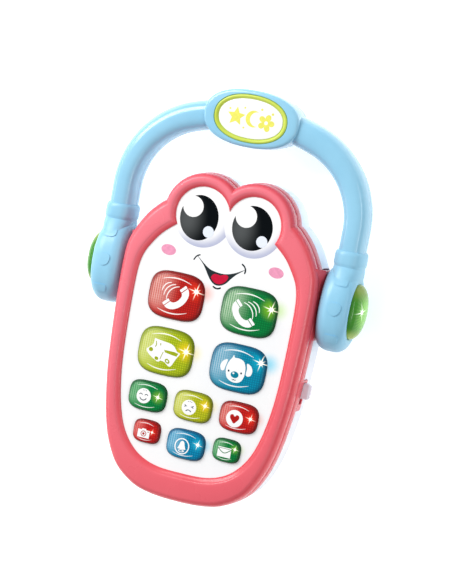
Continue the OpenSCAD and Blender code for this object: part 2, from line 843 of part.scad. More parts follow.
module ear_lamp_lead() {
    wire([[32, 2, board_z - 0.5], [34.5, 3.4, 18], [37.5, 5.4, 15.6], [40, hinge_y, hinge_z],
          [44, hinge_y, hinge_z], [50, hinge_y, hinge_z], [ear_lamp_x - 0.2, hinge_y, hinge_z]]);
}

module ear_cup_right() { color("skyblue") ear_cup(); }
module ear_cup_left() { color("skyblue") mirror([1, 0, 0]) ear_cup(); }
module ear_cover_right() { color("lightblue") ear_cover(); }
module ear_cover_left() { color("lightblue") mirror([1, 0, 0]) ear_cover(); }
module ear_lens_right() { color("limegreen") ear_lens(); }
module ear_lens_left() { color("limegreen") mirror([1, 0, 0]) ear_lens(); }
module ear_lamp_right() { color("white") ear_lamp(); }
module ear_lamp_left() { color("white") mirror([1, 0, 0]) ear_lamp(); }
module pivot_clip_right() { color("silver") pivot_clip(); }
module pivot_clip_left() { color("silver") mirror([1, 0, 0]) pivot_clip(); }
module ear_lamp_lead_right() { color("crimson") ear_lamp_lead(); }
module ear_lamp_lead_left() { color("crimson") mirror([1, 0, 0]) ear_lamp_lead(); }

front_bezel();
face_panel();
rear_cover();
battery_door();
battery_door_screw();
case_screws();
circuit_board();
board_screws();
sound_chip();
board_lamps();
button_membrane();
speaker();
speaker_leads();
batteries();
battery_springs();
battery_contacts();
battery_leads();
slide_switch();
switch_lever();
power_knob();
end_call_button();
call_button();
car_button();
dog_button();
smile_button();
sad_button();
heart_button();
camera_button();
bell_button();
mail_button();
handle_front();
handle_rear();
handle_screws();
badge_ring();
badge_plate();
ear_cup_left();
ear_cup_right();
ear_cover_left();
ear_cover_right();
ear_lens_left();
ear_lens_right();
ear_lamp_left();
ear_lamp_right();
ear_lamp_lead_left();
ear_lamp_lead_right();
pivot_clip_left();
pivot_clip_right();
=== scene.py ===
import json
import math

import bmesh
import bpy
from mathutils import Matrix, Vector
from mathutils.geometry import delaunay_2d_cdt


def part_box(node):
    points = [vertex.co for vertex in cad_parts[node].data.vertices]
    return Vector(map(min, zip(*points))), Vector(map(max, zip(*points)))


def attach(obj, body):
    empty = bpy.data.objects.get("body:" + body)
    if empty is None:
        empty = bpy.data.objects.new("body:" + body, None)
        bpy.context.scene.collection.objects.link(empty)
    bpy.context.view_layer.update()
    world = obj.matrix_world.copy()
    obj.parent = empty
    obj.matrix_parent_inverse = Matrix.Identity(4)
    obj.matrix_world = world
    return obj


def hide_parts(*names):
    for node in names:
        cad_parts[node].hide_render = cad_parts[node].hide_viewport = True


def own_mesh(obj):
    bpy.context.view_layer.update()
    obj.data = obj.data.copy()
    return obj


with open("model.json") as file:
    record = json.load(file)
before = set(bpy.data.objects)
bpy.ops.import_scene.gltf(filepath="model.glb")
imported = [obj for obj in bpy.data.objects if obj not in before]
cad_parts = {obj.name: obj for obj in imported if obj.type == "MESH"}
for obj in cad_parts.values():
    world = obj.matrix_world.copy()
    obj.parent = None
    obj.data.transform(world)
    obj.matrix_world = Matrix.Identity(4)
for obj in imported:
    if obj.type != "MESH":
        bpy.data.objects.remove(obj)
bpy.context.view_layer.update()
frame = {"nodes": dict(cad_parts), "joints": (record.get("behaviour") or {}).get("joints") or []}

# Lengths below are in millimetres, and become metres when a mesh is made.
MM = 0.001


# ---------------------------------------------------------------- places from the frame

def corners(node):
    """Lowest and highest corner of a CAD node."""
    low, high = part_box(node)
    return low / MM, high / MM


PANEL_Z = corners("face_panel")[1].z
PARTING_Z = corners("rear_cover")[1].z
HINGE = Vector(next(j for j in frame["joints"] if j["name"] == "handle_hinge")["pos_m"]) / MM

# Outlines of the casing and of the window in the bezel: right half, from the lower end up
RIM_HALF = [(0, -99.6), (12.2, -99), (22.6, -96.5), (32.6, -89.6), (38.7, -80.1), (42.6, -69.3),
            (45.4, -55.1), (47.4, -38), (48.6, -14), (48.8, 6), (48.1, 17), (45.6, 24.1),
            (40.9, 32.4), (35.6, 38.4), (31.8, 41.4)]
WINDOW_HALF = [(0, -84.9), (11, -84.5), (18.9, -82.4), (25.5, -78.2), (31.2, -71), (35, -61.5),
               (37.7, -48.5), (39.1, -34), (39.7, -14), (39.6, 4), (38.2, 12.8), (35, 19),
               (30.5, 25), (24.3, 30.3)]
EYE_X = 12.7
EYE_Y = 36.8
RIM_EYE_R = 20.3
WINDOW_EYE_R = 13.3
BODY_COLUMNS = 64
EYE_COLUMNS = 26


# ---------------------------------------------------------------- curves

def spline(points, steps, closed=False):
    """Catmull-Rom curve through the points."""
    count = len(points)
    spans = count if closed else count - 1
    picked = []
    for i in range(spans):
        if closed:
            a, b, c, d = (Vector(points[(i + k) % count]) for k in (-1, 0, 1, 2))
        else:
            a, b, c, d = (Vector(points[min(max(i + k, 0), count - 1)]) for k in (-1, 0, 1, 2))
        for s in range(steps):
            t = s / steps
            picked.append(0.5 * (2 * b + (c - a) * t + (2 * a - 5 * b + 4 * c - d) * t * t
                                 + (3 * b - a - 3 * c + d) * t * t * t))
    if not closed:
        picked.append(Vector(points[-1]))
    return picked


def grown(curve, distance):
    """Moves an open curve sideways, to the right of its direction."""
    moved = []
    for i, point in enumerate(curve):
        along = (curve[min(i + 1, len(curve) - 1)] - curve[max(i - 1, 0)]).normalized()
        moved.append(point + distance * Vector((along.y, -along.x)))
    return moved


def resampled(curve, count):
    """The same curve as count + 1 points at equal steps."""
    lengths = [0]
    for a, b in zip(curve, curve[1:]):
        lengths.append(lengths[-1] + (b - a).length)
    picked, k = [], 0
    for i in range(count + 1):
        want = lengths[-1] * i / count
        while k < len(curve) - 2 and lengths[k + 1] < want:
            k += 1
        share = (want - lengths[k]) / max(lengths[k + 1] - lengths[k], 1e-9)
        picked.append(curve[k].lerp(curve[k + 1], share))
    return picked


def outline(half, eye_radius, grow, eye_grow=None):
    """Closed outline of the body and its two eye bumps, moved outwards, with columns that match."""
    radius = eye_radius + (grow if eye_grow is None else eye_grow)
    eye = Vector((EYE_X, EYE_Y))
    curve = spline([(-x, y) for x, y in half[:0:-1]] + half, 10)
    curve.append(curve[-1] + 6 * (curve[-1] - curve[-2]).normalized())
    curve = grown(curve, grow)[len(curve) // 2 - 1:]
    while curve[1].x <= 0:
        curve.pop(0)
    curve[0] = Vector((0, curve[0].y))
    for i, point in enumerate(curve):
        if (point - eye).length < radius:
            inside, before = point, curve[i - 1]
            break
    for _ in range(30):
        middle = (inside + before) / 2
        if (middle - eye).length < radius:
            inside = middle
        else:
            before = middle
    body = resampled(curve[:i] + [before], BODY_COLUMNS)
    start = math.atan2(before.y - EYE_Y, before.x - EYE_X)
    end = math.acos(-EYE_X / radius)
    bump = []
    for k in range(1, EYE_COLUMNS + 1):
        angle = start + (end - start) * k / EYE_COLUMNS
        bump.append(eye + radius * Vector((math.cos(angle), math.sin(angle))))
    right = body + bump
    return right + [Vector((-p.x, p.y)) for p in reversed(right[1:-1])]


def rim(grow, eye_grow=None):
    return outline(RIM_HALF, RIM_EYE_R, grow, eye_grow)


def window(grow, eye_grow=None):
    return outline(WINDOW_HALF, WINDOW_EYE_R, grow, eye_grow)


def raised(flat, z):
    return [Vector((p[0], p[1], z)) for p in flat]


def superellipse(w, h, n, count=72, centre=(0, 0)):
    points = []
    for i in range(count):
        a = 2 * math.pi * i / count
        c, s = math.cos(a), math.sin(a)
        points.append(Vector((centre[0] + w / 2 * math.copysign(abs(c) ** (2 / n), c),
                              centre[1] + h / 2 * math.copysign(abs(s) ** (2 / n), s))))
    return points


def ellipse(x, y, rx, ry, count=40, turn=0):
    tilt = math.radians(turn)
    points = []
    for i in range(count):
        a = 2 * math.pi * i / count
        u, v = rx * math.cos(a), ry * math.sin(a)
        points.append(Vector((x + u * math.cos(tilt) - v * math.sin(tilt),
                              y + u * math.sin(tilt) + v * math.cos(tilt))))
    return points
def circle(x, y, r, count=24):
    return ellipse(x, y, r, r, count)


def polar(angle, r=1, x=0, y=0):
    """Point at an angle in degrees and a distance from x, y."""
    return Vector((x + r * math.cos(math.radians(angle)), y + r * math.sin(math.radians(angle))))


def arc(x, y, r, start, end, count=14):
    return [polar(start + (end - start) * i / count, r, x, y) for i in range(count + 1)]


def stroke(points, width, taper=1.0):
    """Closed outline of a pen line along the points. taper is the width at its ends, as a share."""
    points = [Vector(p) for p in points]
    left, right = [], []
    for i, point in enumerate(points):
        along = (points[min(i + 1, len(points) - 1)] - points[max(i - 1, 0)]).normalized()
        t = abs(2 * i / (len(points) - 1) - 1)
        side = width / 2 * (1 - (1 - taper) * t * t) * Vector((along.y, -along.x))
        right.append(point + side)
        left.append(point - side)
    if taper <= 0.5:
        return right + left[::-1]
    tips = [[centre + Matrix.Rotation(math.radians(a), 2) @ (edge - centre) for a in (45, 90, 135)]
            for centre, edge in ((points[-1], right[-1]), (points[0], left[0]))]
    return right + tips[0] + left[::-1] + tips[1]


def curved_stroke(points, width, taper=1.0):
    return stroke(spline(points, 8), width, taper)


def turned(points, angle, flip=1, centre=(0, 0)):
    """Points turned about the origin, then mirrored in x if flip is -1 and moved to centre."""
    spin = Matrix.Rotation(math.radians(angle), 2)
    return [Vector((flip * p.x + centre[0], p.y + centre[1])) for p in (spin @ Vector(p) for p in points)]


def both_sides(half):
    """Closed outline from its right half, whose first and last points lie on x = 0."""
    return half + [(-x, y) for x, y in half[-2:0:-1]]


def shifted(loop, centre):
    return [Vector((p[0] + centre[0], p[1] + centre[1])) for p in loop]


def scaled(loop, share, centre):
    """Loop drawn towards a centre."""
    return [Vector(centre) + (p - Vector(centre)) * share for p in loop]


def rounded_loop(points, radius, steps=5):
    """Polygon with its corners rounded."""
    loop = []
    count = len(points)
    for i, point in enumerate(points):
        here = Vector(point)
        back = (Vector(points[i - 1]) - here)
        forth = (Vector(points[(i + 1) % count]) - here)
        cut = min(radius, back.length * 0.45, forth.length * 0.45)
        a, b = here + back.normalized() * cut, here + forth.normalized() * cut
        for k in range(steps + 1):
            t = k / steps
            loop.append((1 - t) ** 2 * a + 2 * t * (1 - t) * here + t * t * b)
    return loop


# ---------------------------------------------------------------- solids, as (vertices, faces)

def loft(rings, caps=True, closed=False):
    """Skin through rings that all have the same number of points."""
    size = len(rings[0])
    verts = [Vector(p) for ring in rings for p in ring]
    faces = []
    spans = len(rings) if closed else len(rings) - 1
    for i in range(spans):
        a, b = i * size, ((i + 1) % len(rings)) * size
        for k in range(size):
            n = (k + 1) % size
            faces.append((a + k, a + n, b + n, b + k))
    if caps and not closed:
        faces.append(tuple(range(size))[::-1])
        faces.append(tuple((len(rings) - 1) * size + k for k in range(size)))
    return verts, faces


def prism(flat, z0, z1):
    return loft([raised(flat, z0), raised(flat, z1)])


def rod(low, high, radius, count=40):
    """Cylinder between two points."""
    axis = (Vector(high) - Vector(low)).normalized()
    side = axis.orthogonal().normalized()
    up = axis.cross(side)
    turns = [2 * math.pi * k / count for k in range(count)]
    return loft([[Vector(end) + radius * (math.cos(t) * side + math.sin(t) * up) for t in turns]
                 for end in (low, high)])


def pin(x, y, z0, z1, radius, count=40):
    """Cylinder along Z."""
    return rod((x, y, z0), (x, y, z1), radius, count)


def pivot_rod(x0, x1, radius, count=40):
    """Cylinder along the handle's pivot axis."""
    return rod((x0, HINGE.y, HINGE.z), (x1, HINGE.y, HINGE.z), radius, count)


def rounded_box(low, high, radius, segments=4):
    """Box between two corners with rounded edges."""
    mesh = bmesh.new()
    low, high = Vector(low), Vector(high)
    bmesh.ops.create_cube(mesh, size=1)
    for v in mesh.verts:
        v.co = (low + high) / 2 + Vector(a * b for a, b in zip(v.co, high - low))
    if radius:
        bmesh.ops.bevel(mesh, geom=list(mesh.edges), offset=radius, segments=segments, profile=0.5,
                        affect="EDGES", clamp_overlap=True)
    mesh.verts.index_update()
    solid = [v.co.copy() for v in mesh.verts], [tuple(v.index for v in f.verts) for f in mesh.faces]
    mesh.free()
    return solid


def block(x_range, y_range, z_range, grow=0):
    """Plain box. grow widens it along X and Y."""
    return rounded_box((x_range[0] - grow, y_range[0] - grow, z_range[0]),
                       (x_range[1] + grow, y_range[1] + grow, z_range[1]), 0)


def new_object(name, solid):
    """Object in millimetres, with its faces turned outwards."""
    verts, faces = solid
    mesh = bpy.data.meshes.new(name)
    mesh.from_pydata(verts, [], faces)
    shape = bmesh.new()
    shape.from_mesh(mesh)
    bmesh.ops.recalc_face_normals(shape, faces=shape.faces)
    shape.to_mesh(mesh)
    shape.free()
    obj = bpy.data.objects.new(name, mesh)
    bpy.context.scene.collection.objects.link(obj)
    return obj


def applied(obj):
    """Applies the object's modifiers to its mesh."""
    graph = bpy.context.evaluated_depsgraph_get()
    mesh = bpy.data.meshes.new_from_object(obj.evaluated_get(graph))
    obj.modifiers.clear()
    obj.data = mesh

def taken(obj):
    """The solid of an object that is only a step on the way, and which goes."""
    solid = [v.co.copy() for v in obj.data.vertices], [tuple(p.vertices) for p in obj.data.polygons]
    bpy.data.objects.remove(obj)
    return solid


def combined(obj, operation, *solids):
    """Boolean of an object with more solids, one after another."""
    for solid in solids:
        other = new_object("tool", solid)
        step = obj.modifiers.new("step", "BOOLEAN")
        step.operation = operation
        step.solver = "MANIFOLD"
        step.object = other
        applied(obj)
        bpy.data.objects.remove(other)
    return obj


def side_name(side):
    """Name of the side of the phone on which X has the sign of side."""
    return "right" if side > 0 else "left"


def flipped(obj, side):
    """Mirrors an object to the left-hand side of the phone if side is -1."""
    if side < 0:
        obj.data.transform(Matrix.Diagonal((-1, 1, 1, 1)))
        obj.data.flip_normals()
    return obj


def finished(obj, body, materials, replaces=(), sharp=32):
    """Turns a millimetre object into a piece of the model that rides on a CAD body."""
    obj.data.transform(Matrix.Scale(MM, 4))
    obj.data.shade_smooth()
    if sharp:
        obj.data.set_sharp_from_angle(angle=math.radians(sharp))
    obj.data.materials.clear()
    for material in materials if isinstance(materials, list) else [materials]:
        obj.data.materials.append(material)
    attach(obj, body)
    if replaces:
        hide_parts(*replaces)


# ---------------------------------------------------------------- prints: thin flat shapes on a surface

def subdivided(loop, step):
    """The same loop with extra points, so that no side is longer than a step."""
    fine = []
    for i, point in enumerate(loop):
        after = loop[(i + 1) % len(loop)]
        parts = max(1, math.ceil((after - point).length / step))
        fine += [point.lerp(after, k / parts) for k in range(parts)]
    return fine


def crossings(point, loop):
    """How many sides of a loop lie straight above a point."""
    count = 0
    for i, a in enumerate(loop):
        b = loop[(i + 1) % len(loop)]
        if (a.x > point.x) != (b.x > point.x):
            if a.y + (b.y - a.y) * (point.x - a.x) / (b.x - a.x) > point.y:
                count += 1
    return count


def filled(loops, spacing=0):
    """Triangles inside the first loop and outside the loops that lie in it."""
    points, edges = [], []
    if spacing:
        loops = [subdivided(loop, spacing) for loop in loops]
    for loop in loops:
        start = len(points)
        points += [Vector((p[0], p[1])) for p in loop]
        edges += [(start + k, start + (k + 1) % len(loop)) for k in range(len(loop))]
    if spacing:
        xs, ys = [p.x for p in points], [p.y for p in points]
        for i in range(int(min(xs) / spacing), int(max(xs) / spacing) + 1):
            for j in range(int(min(ys) / spacing), int(max(ys) / spacing) + 1):
                points.append(Vector((i * spacing, j * spacing)))
    verts, _, faces, *_ = delaunay_2d_cdt(points, edges, [], 1, 1e-6)
    centres = [sum((verts[k] for k in face), Vector((0, 0))) / 3 for face in faces]
    faces = [face for face, centre in zip(faces, centres)
             if sum(crossings(centre, loop) for loop in loops) % 2]
    used = sorted({k for face in faces for k in face})
    new = {k: i for i, k in enumerate(used)}
    return [verts[k] for k in used], [tuple(new[k] for k in face) for face in faces]


PRINT_STEP = 0.035


def printed(name, shapes, height, body, spacing=0):
    """Prints shapes of (material, level, loops) on the surface height(x, y)."""
    verts, faces, slots, materials = [], [], [], []
    for material, level, loops in shapes:
        if material not in materials:
            materials.append(material)
        flat, triangles = filled(loops, spacing)
        start, count = len(verts), len(flat)
        verts += [Vector((p.x, p.y, height(p.x, p.y) + PRINT_STEP * level)) for p in flat]
        verts += [Vector((p.x, p.y, height(p.x, p.y) - PRINT_STEP)) for p in flat]
        sides = {}
        for t in triangles:
            faces.append(tuple(start + k for k in t))
            faces.append(tuple(start + count + k for k in reversed(t)))
            for a, b in zip(t, t[1:] + t[:1]):
                if (b, a) in sides:
                    del sides[(b, a)]
                else:
                    sides[(a, b)] = True
        faces += [(start + b, start + a, start + count + a, start + count + b) for a, b in sides]
        slots += [materials.index(material)] * (len(faces) - len(slots))
    obj = new_object(name, (verts, faces))
    finished(obj, body, materials, sharp=40)
    for polygon, index in zip(obj.data.polygons, slots):
        polygon.material_index = index


# ---------------------------------------------------------------- materials

def srgb(r, g, b):
    """Linear colour from the usual 0 to 255 values."""
    return tuple((c / 255 / 12.92) if c < 10.3 else ((c / 255 + 0.055) / 1.055) ** 2.4
                 for c in (r, g, b)) + (1,)


def dimmed(colour, share):
    """Darker shade of a linear colour."""
    return tuple(c * share for c in colour[:3]) + (1,)


CORAL = srgb(232, 84, 95)
CORAL_DEEP = srgb(227, 75, 88)
# colour of the painted highlight along the bezel's crown
CORAL_PAINTED_HIGHLIGHT = srgb(241, 124, 138)
SKY = srgb(150, 208, 236)
SKY_DEEP = srgb(140, 200, 230)
WHITE = srgb(250, 250, 250)
INK = srgb(38, 48, 52)
BLACK = (0, 0, 0, 1)


class Value:
    """A node's output, which adds, subtracts and multiplies as a number does."""

    def __init__(self, net, socket):
        self.net = net
        self.socket = socket

    def __add__(self, other):
        return self.net.math("ADD", self, other)

    def __sub__(self, other):
        return self.net.math("SUBTRACT", self, other)

    def __mul__(self, other):
        return self.net.math("MULTIPLY", self, other)


class Net:
    """A material and the nodes that it is made of."""

    def __init__(self, name, **constants):
        self.material = bpy.data.materials.new(name)
        self.material.use_nodes = True
        self.nodes = self.material.node_tree.nodes
        self.links = self.material.node_tree.links
        self.sockets = self.nodes["Principled BSDF"].inputs
        for socket, value in constants.items():
            self.sockets[socket.replace("_", " ")].default_value = value

    def plug(self, value, socket):
        if isinstance(value, Value):
            self.links.new(value.socket, socket)
        else:
            socket.default_value = value

    def add(self, kind, inputs, output=0, **settings):
        node = self.nodes.new("ShaderNode" + kind)
        for key, value in settings.items():
            setattr(node, key, value)
        for key, value in inputs.items():
            self.plug(value, node.inputs[key])
        return Value(self, node.outputs[output])

    def math(self, operation, *values):
        return self.add("Math", dict(enumerate(values)), operation=operation)

    def place(self):
        """Place on the object, in the row frame."""
        return self.add("TexCoord", {}, 3)

    def local(self, centre):
        """x, y and z in millimetres from a centre."""
        moved = self.add("VectorMath", {0: self.place(), 1: [c * MM for c in centre]},
                         operation="SUBTRACT")
        scaled = self.add("VectorMath", {0: moved, "Scale": 1 / MM}, operation="SCALE")
        first = self.add("SeparateXYZ", {0: scaled})
        return [Value(self, socket) for socket in first.socket.node.outputs]

    def noise(self, scale, detail=3.0, stretch=None):
        where = self.place()
        if stretch:
            where = self.add("VectorMath", {0: where, 1: stretch}, operation="MULTIPLY")
        return self.add("TexNoise", {"Vector": where, "Scale": scale, "Detail": detail})

    def mix(self, factor, a, b):
        return self.add("Mix", {0: factor, 6: a, 7: b}, 2, data_type="RGBA")

    def span(self, value, low, high, to_low=0.0, to_high=1.0):
        """Smooth step of a value from one range to another."""
        return self.add("MapRange", {"Value": value, "From Min": low, "From Max": high,
                                     "To Min": to_low, "To Max": to_high}, interpolation_type="SMOOTHSTEP")

    def bump(self, height, strength, distance):
        normal = self.add("Bump", {"Height": height, "Strength": strength, "Distance": distance})
        self.plug(normal, self.sockets["Normal"])

    def paint(self, colour):
        self.plug(colour, self.sockets["Base Color"])

    def painted(self):
        """The colour that is painted so far."""
        return Value(self, self.sockets["Base Color"].links[0].from_socket)

    def rough(self, low, high, scale):
        self.plug(self.span(self.noise(scale, 5), 0.3, 0.7, low, high), self.sockets["Roughness"])

    def distance(self, x, y):
        return self.math("SQRT", x * x + y * y)

    def star(self, x, y, reach, turn=0):
        """Brightness of a painted lamp glint in the plane x, y: a bright core and thin rays."""
        r = self.distance(x, y)
        total = self.span(r, reach * 0.3, reach * 0.06)
        for k in range(4):
            angle = math.radians(turn + 45 * k)
            length = reach * (0.62 if k % 2 else 1.15)
            across = self.math("ABSOLUTE", x * -math.sin(angle) + y * math.cos(angle))
            total = total + self.span(across, reach * 0.09, 0.0) * self.span(r, length, length * 0.1)
        return self.math("MINIMUM", total, 1.0)

    def light_up(self, glint, colour, pale, shine):
        """Paints the glint as a highlight on the colour, and makes the painted glint glow."""
        self.paint(self.mix(glint, colour, pale))
        self.plug(self.mix(glint, BLACK, shine), self.sockets["Emission Color"])
        self.sockets["Emission Strength"].default_value = 0.8


def moulded(name, colour, deep, low=0.3, high=0.42, coat=0.1, wear=0.05, grain=0.00002):
    """Moulded plastic: slow drift of colour, faint orange peel, and patches that are rubbed smoother."""
    net = Net(name, Coat_Weight=coat, Coat_Roughness=0.15, Specular_IOR_Level=0.35)
    drift = net.span(net.noise(28, 3), 0.35, 0.7)
    fine = net.span(net.noise(420, 4), 0.4, 0.62)
    net.paint(net.mix(fine * wear, net.mix(drift, colour, deep), dimmed(colour, 0.8)))
    net.rough(low, high, 90)
    net.bump(net.noise(900, 2), 0.25, grain)
    return net


def crown_material():
    """Coral bezel plastic with a painted highlight: paler along the crown and towards the upper left."""
    net = moulded("coral_plastic", CORAL, CORAL_DEEP, low=0.24, high=0.34, coat=0.25)
    net.sockets["Specular IOR Level"].default_value = 0.3
    x, y, z = net.local((0, 0, PANEL_Z))
    # painted light: the highlight grows towards the upper left, where the light comes from
    lit = net.span(y - x, -90, 60, 0.4, 1.0)
    # painted highlight, paler the higher the bezel rises
    net.paint(net.mix(net.span(z, 0.8, 2.0, 0.0, 0.9) * lit, net.painted(), CORAL_PAINTED_HIGHLIGHT))
    return net.material


def metal(name, colour, low, high):
    """Plated metal with fine marks along one direction."""
    net = Net(name, Metallic=1.0)
    brushed = net.noise(600, 4, stretch=(1, 12, 1))
    net.paint(net.mix(net.span(brushed, 0.3, 0.7), colour, dimmed(colour, 0.72)))
    net.rough(low, high, 500)
    net.bump(brushed, 0.2, 0.00002)
    return net.material


def panel_material():
    """White panel with painted light: the glow of the lit buttons round their right-hand edges."""
    net = moulded("panel_white", WHITE, srgb(246, 247, 249), low=0.2, high=0.28, wear=0.02)
    colour = net.painted()
    for name, (*_, star, painted_glow) in BUTTON_LOOKS.items():
        if painted_glow:
            strength, shift, radius, tint = painted_glow
            _, centre, _ = button_top(name)
            x, y, _ = net.local((centre[0] + star[0] + shift, centre[1] + star[1], PANEL_Z))
            # painted glow of the button's lamp, tinted and fading outwards
            colour = net.mix(net.span(net.distance(x, y), radius, 0.0, 0.0, strength), colour, srgb(*tint))
    net.paint(colour)
    return net.material


def eyeball_material(name, x0, y0, radius, lean):
    """White eyeball with a lilac shade round its lower edge."""
    net = Net(name, Specular_IOR_Level=0.2)
    x, y, _ = net.local((x0, y0, 0))
    edge = net.span(net.distance(x, y), radius * 0.62, radius)
    low = net.span(x * lean - y, -radius * 0.1, radius * 0.9)
    soft = net.span(net.noise(300, 2), 0.3, 0.7, 0.94, 1.0)
    net.paint(net.mix(edge * low * soft, WHITE, srgb(182, 187, 213)))
    net.rough(0.16, 0.24, 90)
    return net.material


def pupil_material(name, x0, y0):
    """Near-black pupil that turns grey towards its left."""
    net = Net(name, Specular_IOR_Level=0.08)
    x, y, _ = net.local((x0 - 5.5, y0 - 1.5, 0))
    r = net.distance(x, y * 0.7)
    net.paint(net.mix(net.span(r, 0.5, 10.5), srgb(82, 85, 86), srgb(6, 11, 15)))
    net.rough(0.14, 0.22, 90)
    return net.material


def ink_material(name, colour, drift=0.88):
    """Printed ink, a little uneven as pad printing is."""
    net = Net(name, Specular_IOR_Level=0.15)
    net.paint(net.mix(net.span(net.noise(700, 3), 0.35, 0.65), colour, dimmed(colour, drift)))
    net.rough(0.2, 0.3, 200)
    return net.material


def button_material(name, centre, w, h):
    """Clear tinted plastic over ribs and dots, with painted sheen, rim shade and lamp light on it."""
    _, *colours, star, _ = BUTTON_LOOKS[name]
    tint, pale, dark, lit = (srgb(*c) for c in colours)
    net = Net("lens_" + name, Coat_Weight=0.08, Coat_Roughness=0.08, Specular_IOR_Level=0.12,
              Roughness=0.25)
    x, y, _ = net.local(centre)
    nx, ny = x * (2 / w), y * (2 / h)
    n = BUTTON_SQUARENESS
    powers = [net.math("POWER", net.math("ABSOLUTE", value), n) for value in (nx, ny)]
    norm = net.math("POWER", powers[0] + powers[1], 1 / n)
    # painted sheen: paler on the left, where the light comes from
    left = net.span(nx, 0.2, -0.75) * net.span(ny, -1.0, 0.0)
    wave_x, wave_y = (net.math("SINE", value * (2 * math.pi / RIB_PITCH)) for value in (x, y))
    cloudy = net.span(net.noise(160, 4), 0.35, 0.65, 0.8, 1.0)
    colour = net.mix(left * 0.9 * cloudy, tint, pale)
    colour = net.mix(net.span(wave_x, -0.3, 0.7, 0.0, 0.75) * left, colour, tint)
    dots = net.span(net.math("MINIMUM", wave_x, wave_y), 0.2, -0.8, 0.0, 0.7)
    colour = net.mix(dots * net.span(nx, -0.6, 0.3, 0.3, 1.0), colour, dark)
    sx, sy, _ = net.local((centre[0] + star[0], centre[1] + star[1], 0))
    reach = star[2]
    # painted light of the lamp round its glint
    colour = net.mix(net.span(net.distance(sx, sy), reach * 1.6, reach * 0.2, 0.0, 0.9), colour, lit)
    # painted shade on the rim, darkest along the top edge
    colour = net.mix(net.span(norm, 0.82, 0.93) * net.span(ny, -0.3, 0.9, 0.35, 0.85), colour, dark)
    # painted shade in the gap round the outline
    colour = net.mix(net.span(norm, 0.94, 0.985, 0.0, 0.8), colour, dimmed(dark, 0.7))
    # painted star glint of the lamp, which also glows
    net.light_up(net.star(sx, sy, reach, -12), colour, srgb(255, 250, 235), srgb(255, 244, 214))
    net.bump(wave_x + wave_y, 0.12, 0.00002)
    return net.material


def lens_material(side):
    """Green dome of an ear cup, with a painted, glowing glint of its lit lamp."""
    net = Net("ear_lens_" + side_name(side), Coat_Weight=0.2, Coat_Roughness=0.06, Specular_IOR_Level=0.3,
              Roughness=0.18)
    _, y, z = net.local((0, HINGE.y, HINGE.z))
    r = net.distance(y * (1 / LENS_RY), z * (1 / LENS_RZ))
    spokes = net.math("SINE", net.math("ARCTAN2", z, y) * 36.0)
    colour = net.mix(net.span(r, 1.0, 0.35), srgb(60, 138, 38), srgb(140, 222, 78))
    colour = net.mix(net.span(spokes, -0.2, 1.0, 0.0, 0.5) * net.span(r, 0.15, 0.6), colour,
                     srgb(52, 140, 30))
    colour = net.mix(net.span(y, LENS_RY * 0.35, LENS_RY * 0.95, 0.0, 0.8), colour, srgb(150, 168, 66))
    colour = net.mix(net.span(y, LENS_RY * -0.5, LENS_RY * -0.95, 0.0, 0.8), colour, srgb(182, 204, 92))
    # painted star glint of the lamp, which also glows
    net.light_up(net.star(y - 1.0, z - 5.5, 4.6, 15), colour, srgb(250, 255, 245), srgb(235, 255, 225))
    net.bump(spokes * net.span(r, 0.1, 0.5), 0.15, 0.00003)
    return net.material


# ---------------------------------------------------------------- casing

BEZEL_PROFILE = [
    # outline, height over the panel, how far the outline is moved, and how far at the eyes if it differs
    (window, 0.02, 0.0), (window, 0.3, 0.05), (window, 0.55, 0.25, 0.2), (window, 1.05, 1.1, 0.9),
    (window, 1.5, 2.1, 1.6), (window, 1.56, 2.35, 1.8), (window, 1.72, 2.55, 2.0),
    (window, 1.88, 2.9, 2.3), (window, 2.0, 4.1, 3.1), (rim, 1.97, -3.7, -2.95),
    (rim, 1.86, -3.3, -2.65), (rim, 1.62, -2.95, -2.4), (rim, 1.42, -2.6, -2.1),
    (rim, 1.02, -2.0, -1.7), (rim, 0.3, -1.4, -1.25), (rim, -0.5, -0.95, -0.9), (rim, -1.4, -0.7),
    (rim, -2.6, -0.55), (rim, -4.7, -0.5), (rim, -4.95, -0.6), (rim, -5.2, -0.85), (rim, -5.5, -0.85),
    (rim, -5.75, -0.5), (rim, -6.2, -0.35), (rim, -10.7, -0.1), (rim, -11.05, -0.2),
    (rim, -11.2, -0.5), (rim, -11.2, -2.2), (rim, -2.2, -2.2), (window, -2.2, 2.0), (window, 0.02, 2.0),
]
BEZEL_SKIN = 0.1  # how far the flank's outer face lies inside the rim
BEZEL_INSIDE = 2.2
FLANK_X = (42, 56)  # tools that work on the side wall
LUG_X = (45.4, 48.9)
LUG_Y = (-11, 23)
LUG_Z = (4, 27.8)
LUG_SLOPE_Z = 21.5
LUG_MIDDLE_X = 47
LUG_LEAN = 0.06
LUG_ENDS = [(0, 0.5), (0.15, 0.15), (0.5, 0)]  # way from the end, how far inside the full width
BORE_R = 5.1
KNOB_Y = -35.5
KNOB_Z = 16
SLOT_Y = (-42.2, -31.4)
SLOT_HALF_Z = 2.3
TAB_Y = (-45.4, -30.3)
TAB_Z = 12.5


def lug(side):
    """Block on the bezel's flank that the handle's pivot goes through."""
    (x0, x1), (z0, z1) = LUG_X, LUG_Z
    section = rounded_loop([(x0, z0), (x1, z0), (x1, LUG_SLOPE_Z), (x0 + 0.6, z1), (x0, z1)], 0.7)
    stations = [(LUG_Y[0] + way, inset, 0) for way, inset in LUG_ENDS]
    stations += [(LUG_Y[1] - way, inset, LUG_LEAN) for way, inset in reversed(LUG_ENDS)]
    return loft([[Vector((side * (p.x - inset * (p.x > LUG_MIDDLE_X)), y - lean * (z1 - p.y), p.y))
                  for p in section] for y, inset, lean in stations])


